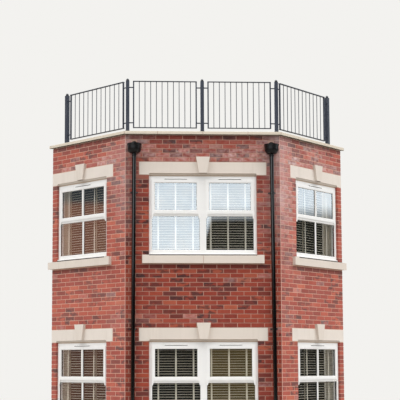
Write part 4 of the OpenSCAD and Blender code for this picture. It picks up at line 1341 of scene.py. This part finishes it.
def vent_slot(batch, side, sill, middle):
    """The dark slot under the hood of one light's vent, partly painted shade for the hood's shadow."""
    top = sill + OPENING_H - HEAD_GAP - VENT_DROP - VENT_H / 2
    profile = box_profile(FRAME_FACE - SLOT_DEEP, FRAME_FACE - SLOT_OFF, top - SLOT_H, top - SLOT_OFF)
    batch.loft(side, bar(profile, middle - SLOT_L / 2, middle + SLOT_L / 2))


bedding, slots = Batch(), Batch()
for side in SIDES:
    for sill in SILLS:
        bed(bedding, side, sill)
        for middle in LIGHT_MIDDLES[side]:
            vent_slot(slots, side, sill, middle)
bedding.piece("frame_bedding", DARK_FILL_AND_SHADE, "upvc")
slots.piece("vent_slots", DARK_FILL_AND_SHADE, "upvc")

# %% [markdown]
# ## Spacer bars and seals
# A sealed unit is two sheets of glass, held apart round their edge by a black spacer bar. Whoever
# looks at a window from the side sees the inner side of the bar through the glass, as a dark line
# along the frame and along each glazing bar. In front, a thin black rubber seal lies between the
# glass and the plastic. Its black is partly painted shade, for the dark line that the glass shows
# where it mirrors the frame's shaded side.
#
# Where the lights are could be typed in, but the glass knows it best: each of its large faces that
# looks forwards is a sheet, and one with a glazing bar in front of its middle counts as two lights.

# %% Lights of a glass piece
GLASS_T, SHEET_T, OFF_EDGE = 0.024, 0.003, 0.0003
# A sheet of glass that is wider than this has a glazing bar in its middle
BARRED, BAR_W = 0.900, 0.044


def glass_lights(name):
    """The lights of a glass piece: side, start and end along the face, depth, bottom and top."""
    found = set()
    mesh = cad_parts[name].data
    for polygon in mesh.polygons:
        middle = polygon.center.x
        side = "front" if abs(middle) < FACE_W / 2 else "left" if middle < 0 else "right"
        points = to_face(side, [mesh.vertices[v].co for v in polygon.vertices]).round(4)
        (x0, y, z0), (x1, back, z1) = points.min(axis=0), points.max(axis=0)
        # Only flat faces that look forwards count, and none of the narrow ones at an edge
        if polygon.normal.y < 0 and back - y < OFF_EDGE and x1 - x0 > 2 * BAR_W:
            centre = (x0 + x1) / 2
            halves = [(x0, centre - BAR_W / 2), (centre + BAR_W / 2, x1)]
            found.update((side, a, b, y, z0, z1) for a, b in (halves if x1 - x0 > BARRED else [(x0, x1)]))
    return sorted(found)


lights = glass_lights("lower_glass") + glass_lights("upper_glass")
print("lights:", len(lights))

# %% [markdown]
# A spacer bar lies between the two sheets and a seal on the outer one. Both are four thin bars
# along the edges of a light, so one function makes them, with other depths.

# %% Spacer bars and rubber seals
SPACER_W, SEAL_W, SEAL_D = 0.0025, 0.0025, 0.003


def edging(batch, side, light, y0, y1, width):
    """A thin frame along the edges of a light, which is given as its x0, x1, z0 and z1."""
    x0, x1, z0, z1 = light
    for start, end in ((x0, x0 + width), (x1 - width, x1)):
        batch.loft(side, bar(box_profile(y0, y1, z0, z1), start, end))
    for low, high in ((z0, z0 + width), (z1 - width, z1)):
        batch.loft(side, bar(box_profile(y0, y1, low, high), x0 + width, x1 - width))


spacers, seals = Batch(), Batch()
for side, x0, x1, y, z0, z1 in lights:
    light = (x0 + OFF_EDGE, x1 - OFF_EDGE, z0 + OFF_EDGE, z1 - OFF_EDGE)
    edging(spacers, side, light, y + SHEET_T, y + GLASS_T - SHEET_T, SPACER_W)
    edging(seals, side, light, y - SEAL_D, y - OFF_EDGE, SEAL_W)
spacers.piece("glass_spacers", DULL_BLACK, "black_plastic")
seals.piece("glazing_seals", BLACK_SEAL_AND_SHADE, "upvc")

# %% [markdown]
# ## Slatted blinds
# Behind every light hangs a blind of wide slats, tilted so that the room's edge is the higher
# one. A slat is a strip of thin metal with a slight crown, which keeps it stiff. Ladder strips in
# front and behind carry the slats, and a head rail and a bottom rail close the blind. An array
# modifier could repeat one slat, but real slats are never perfectly even, so each one is lofted
# with a small tilt and sag of its own, from a fixed seed.

# %% Slats, strips and rails
BLIND_Y = 0.150
SLAT_W, SLAT_T, SLAT_CROWN, SLAT_PITCH = 0.050, 0.0028, 0.003, 0.0425
SLAT_POINTS, SLAT_STEPS = 5, 7
TILT_SWING, LEAN_SWING, MOST_SAG, SAG_WAVES = 0.02, 0.0008, 0.0012, 1.5
STRIP_W, STRIP_T, STRIP_DRAWN_IN = 0.025, 0.0012, 0.0012
RAIL_EDGE = 0.003


def slat_profile(tilt):
    """Cross-section of a slat in y and z: a crowned strip, turned by its tilt."""
    across = np.linspace(-SLAT_W / 2, SLAT_W / 2, SLAT_POINTS)
    crown = SLAT_CROWN * (1 - (2 * across / SLAT_W) ** 2)
    y, z = np.concatenate((across, across[::-1])), np.concatenate((crown + SLAT_T, crown[::-1]))
    return np.column_stack((y * math.cos(tilt) - z * math.sin(tilt), y * math.sin(tilt) + z * math.cos(tilt)))


def hang_slat(batch, side, middle, width, z, tilt, rng):
    """One slat, which sags a little between its strips."""
    profile = slat_profile(tilt + rng.normal(0, TILT_SWING))
    lean, sag = rng.normal(0, LEAN_SWING), rng.uniform(0.0, MOST_SAG)
    rings = []
    for t in np.linspace(-1, 1, SLAT_STEPS):
        drop = lean * t - sag * math.cos(t * SAG_WAVES * math.pi) ** 2
        rings.append([(middle + t * width / 2, BLIND_Y + y, z + drop + h) for y, h in profile])
    batch.loft(side, rings)


def hang_strip(batch, side, x, y, z0, z1):
    """A ladder strip, drawn in a little between one slat and the next."""
    steps = max(round((z1 - z0) / SLAT_PITCH), 1) * 2
    inward = STRIP_DRAWN_IN if y < BLIND_Y else -STRIP_DRAWN_IN
    start, end = x - STRIP_W / 2, x + STRIP_W / 2
    rings = []
    for i in range(steps + 1):
        front, z = y + inward * (i % 2), z0 + (z1 - z0) * i / steps
        back = front + STRIP_T
        rings.append([(start, front, z), (end, front, z), (end, back, z), (start, back, z)])
    batch.loft(side, rings)


def hang_rail(batch, side, middle, width, z, depth, height):
    """A rail with its edges taken off."""
    y0, y1, z1 = BLIND_Y - depth / 2, BLIND_Y + depth / 2, z + height
    profile = [(y0 + RAIL_EDGE, z), (y1 - RAIL_EDGE, z), (y1, z + RAIL_EDGE), (y1, z1 - RAIL_EDGE),
               (y1 - RAIL_EDGE, z1), (y0 + RAIL_EDGE, z1), (y0, z1 - RAIL_EDGE), (y0, z + RAIL_EDGE)]
    batch.loft(side, bar(profile, middle - width / 2, middle + width / 2))


print("points round a slat:", len(slat_profile(0.0)))

# %% [markdown]
# The blinds hang in the reveals behind the frames, from the head of the opening down to the window
# board. They are set out from the top, as real blinds are, so the spare room is left at the foot.

# %% Hang the blinds
BLIND_SEED = 57
# How far the slats are turned from level: those upstairs are a little more closed
SLAT_TILT = {"lower": math.radians(8), "upper": math.radians(14)}
HEAD_RAIL, BOTTOM_RAIL = (0.054, 0.048), (0.050, 0.016)
# Above the sill and below the head, and then clear of the rails before the first and last slat
BOARD_TOP, FOOT_GAP, HEAD_ROOM, ABOVE_RAIL, BELOW_RAIL = 0.025, 0.004, 0.003, 0.030, 0.026
STRIP_CLEAR, STRIP_TOP = 0.001, 0.010
# For each face: the middles of its blinds, their width, and where the strips are from the middle
BLINDS = {"front": ((FACE_W / 2 - LIGHT_OFF, FACE_W / 2 + 0.430), 0.870, (-0.293, 0.0, 0.293)),
          "left": (LIGHT_MIDDLES["left"], 1.215, (-0.200, 0.450)),
          "right": (LIGHT_MIDDLES["right"], 1.215, (-0.200, 0.450))}


def hang_slats(batch, side, middle, width, foot, head, tilt, rng):
    """All the slats of a blind, from the head rail down."""
    low, high = foot + BOTTOM_RAIL[1] + ABOVE_RAIL, head - HEAD_RAIL[1] - BELOW_RAIL
    for i in range(int((high - low) / SLAT_PITCH) + 1):
        hang_slat(batch, side, middle, width, high - i * SLAT_PITCH, tilt, rng)


def hang_strips(batch, side, places, foot, head, tilt):
    """Ladder strips in front of the slats and behind them."""
    half = SLAT_W / 2 * math.cos(tilt) + STRIP_CLEAR
    for x in places:
        for y in (BLIND_Y - half - STRIP_T, BLIND_Y + half):
            hang_strip(batch, side, x, y, foot + BOTTOM_RAIL[1] / 2, head - STRIP_TOP)


rng = np.random.default_rng(BLIND_SEED)
for storey, sill in zip(STOREYS, SILLS):
    slats, strips, rails = Batch(), Batch(), Batch()
    foot, head, tilt = sill + BOARD_TOP + FOOT_GAP, sill + OPENING_H - HEAD_ROOM, SLAT_TILT[storey]
    for side, (middles, width, strip_places) in BLINDS.items():
        for middle in middles:
            hang_slats(slats, side, middle, width, foot, head, tilt, rng)
            hang_strips(strips, side, [middle + place for place in strip_places], foot, head, tilt)
            hang_rail(rails, side, middle, width, head - HEAD_RAIL[1], *HEAD_RAIL)
            hang_rail(rails, side, middle, width, foot, *BOTTOM_RAIL)
    slats.piece(storey + "_blind_slats", SLATS[storey], "upvc")
    strips.piece(storey + "_blind_strips", LADDERS[storey], "upvc")
    rails.piece(storey + "_blind_rails", SLATS[storey], "upvc")

# %% [markdown]
# ## Mortar between the stones
# Coping stones and the two halves of a sill don't touch. Their joints are pointed with mortar,
# set back a little from the stone's face. A dark line could be painted across one long stone, but
# the CAD stones are separate, so the real gap is filled.

# %% Joints between stones
STONE_JOINT, LAP, POINTED_BACK = 0.006, 0.001, 0.004
HALF_JOINT = STONE_JOINT / 2 + LAP
COPING_FRONT, COPING_BACK, COPING_TOP = -0.045, WALL_T + 0.030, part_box("front_coping")[1].z
COPING_STONE, COPING_FIRST, BED_JOINT = 0.760, 0.575, 0.006
# The joint in a sill in y, and in z from the sill's top: its foot, back edge, slope and nose
SILL_JOINT = ((-0.050, 0.004 - SILL_H), (0.100, 0.004 - SILL_H), (0.100, -0.003), (0.036, -0.003),
              (-0.050, -0.019))


def coping_joint(batch, side, x, slope=0.0):
    """Fills one joint of the coping. With a slope, the joint runs along the bay's mitre."""
    z0, z1 = WALL_H + POINTED_BACK + BED_JOINT, COPING_TOP - POINTED_BACK / 2
    rings = []
    for y in (COPING_FRONT + POINTED_BACK, COPING_BACK - POINTED_BACK):
        start, end = x + y * slope - HALF_JOINT, x + y * slope + HALF_JOINT
        rings.append([(start, y, z0), (end, y, z0), (end, y, z1), (start, y, z1)])
    batch.loft(side, rings)


pointing = Batch()
for x in (FACE_W / 2 - COPING_STONE, FACE_W / 2, FACE_W / 2 + COPING_STONE):
    coping_joint(pointing, "front", x)
for side in CANTED:
    for x in (CANT_L - COPING_FIRST, CANT_L - COPING_FIRST - COPING_STONE):
        coping_joint(pointing, side, x)
coping_joint(pointing, "front", 0.0, MITRE)
coping_joint(pointing, "front", FACE_W, -MITRE)
for sill in SILLS:
    profile = [(y, sill + z) for y, z in SILL_JOINT]
    pointing.loft("front", bar(profile, FACE_W / 2 - HALF_JOINT, FACE_W / 2 + HALF_JOINT))
pointing.piece("stone_pointing", MORTAR, "cast_stone")

# %% [markdown]
# ## Nuts, washers and screws
# Each post stands on a base plate held by four anchor studs. A stud carries a washer and a
# hexagonal nut with worn corners, and its end stands out above the nut. Cylinders and a bevel could
# make them. Rings of points, one above the other, do it with the loft that is already here. They
# are small, but a viewer who comes close looks for them.

# %% Anchor nuts
ANCHOR_SEED = 83
RAIL_IN, END_POST, BOLT_OUT, PLATE_T = 0.095, 0.265, 0.038, 0.008
PLATE_TOP = COPING_TOP + PLATE_T
# The number of sides of each, then its heights and radii from the foot up
WASHER = 20, ((0, 0.0105), (0.0015, 0.0105), (0.002, 0.010))
NUT = 6, ((0.002, 0.0090), (0.003, 0.0098), (0.009, 0.0098), (0.010, 0.0088))
STUD = 12, ((0.009, 0.005), (0.0165, 0.005), (0.018, 0.004))


def ring(x, y, z, radius, count, turn=0.0):
    """A level ring of points."""
    angles = [turn + 2 * math.pi * i / count for i in range(count)]
    return np.array([(x + radius * math.cos(angle), y + radius * math.sin(angle), z) for angle in angles])


def anchor(batch, side, x, y, turn):
    """A washer, a nut and the end of its stud, standing on a post's plate."""
    for (count, shape), turned in ((WASHER, 0.0), (NUT, turn), (STUD, 0.0)):
        batch.loft(side, [ring(x, y, PLATE_TOP + h, radius, count, turned) for h, radius in shape])


rng = np.random.default_rng(ANCHOR_SEED)
anchors = Batch()
posts = [("front", RAIL_IN * MITRE), ("front", FACE_W / 2), ("front", FACE_W - RAIL_IN * MITRE),
         ("left", CANT_L - END_POST), ("right", CANT_L - END_POST)]
for side, x in posts:
    for dx in (-BOLT_OUT, BOLT_OUT):
        for dy in (-BOLT_OUT, BOLT_OUT):
            anchor(anchors, side, x + dx, RAIL_IN + dy, rng.uniform(0, math.pi / 3))
anchors.piece("post_anchors", ZINC, "railing")

# %% [markdown]
# Every pipe clip is screwed to the brickwork through its two ears. The head of a screw is the same
# loft, turned to look forwards, with a small recess for the driver. The pipes stand a little out of
# plumb, and the screws follow them.

# %% Clip screws
CLIP_Z, CLIP_H, CLIP_T, EAR_MIDDLE = (0.944, 2.432, 4.705), 0.024, 0.005, 0.048
# How much further from the middle a pipe stands at the ground
PIPE_LEAN = 0.032
# Depth in front of the ear and radius, from the rim of the head to the bottom of its recess
SCREW_HEAD = ((0.0, 0.0052), (0.0014, 0.0050), (0.0028, 0.0038), (0.0033, 0.0022), (0.0033, 0.0016),
              (0.0018, 0.0011))
SCREW_SIDES = 16


def screw(batch, x, z):
    """A round screw head on the front face: level rings, turned to look forwards."""
    rings = []
    for out, radius in SCREW_HEAD:
        turned = ring(x, z, 0, radius, SCREW_SIDES)[:, [0, 2, 1]]
        rings.append(turned - (0, CLIP_T + out, 0))
    batch.loft("front", rings)


screws = Batch()
for pipe in (-1, 1):
    for z in CLIP_Z:
        for ear in (-1, 1):
            lean = PIPE_LEAN * (1 - z / OUTLET_Z)
            screw(screws, FACE_W / 2 + pipe * (OUTLET_X + lean) + ear * EAR_MIDDLE, z + CLIP_H / 2)
screws.piece("clip_screws", ZINC, "black_plastic")
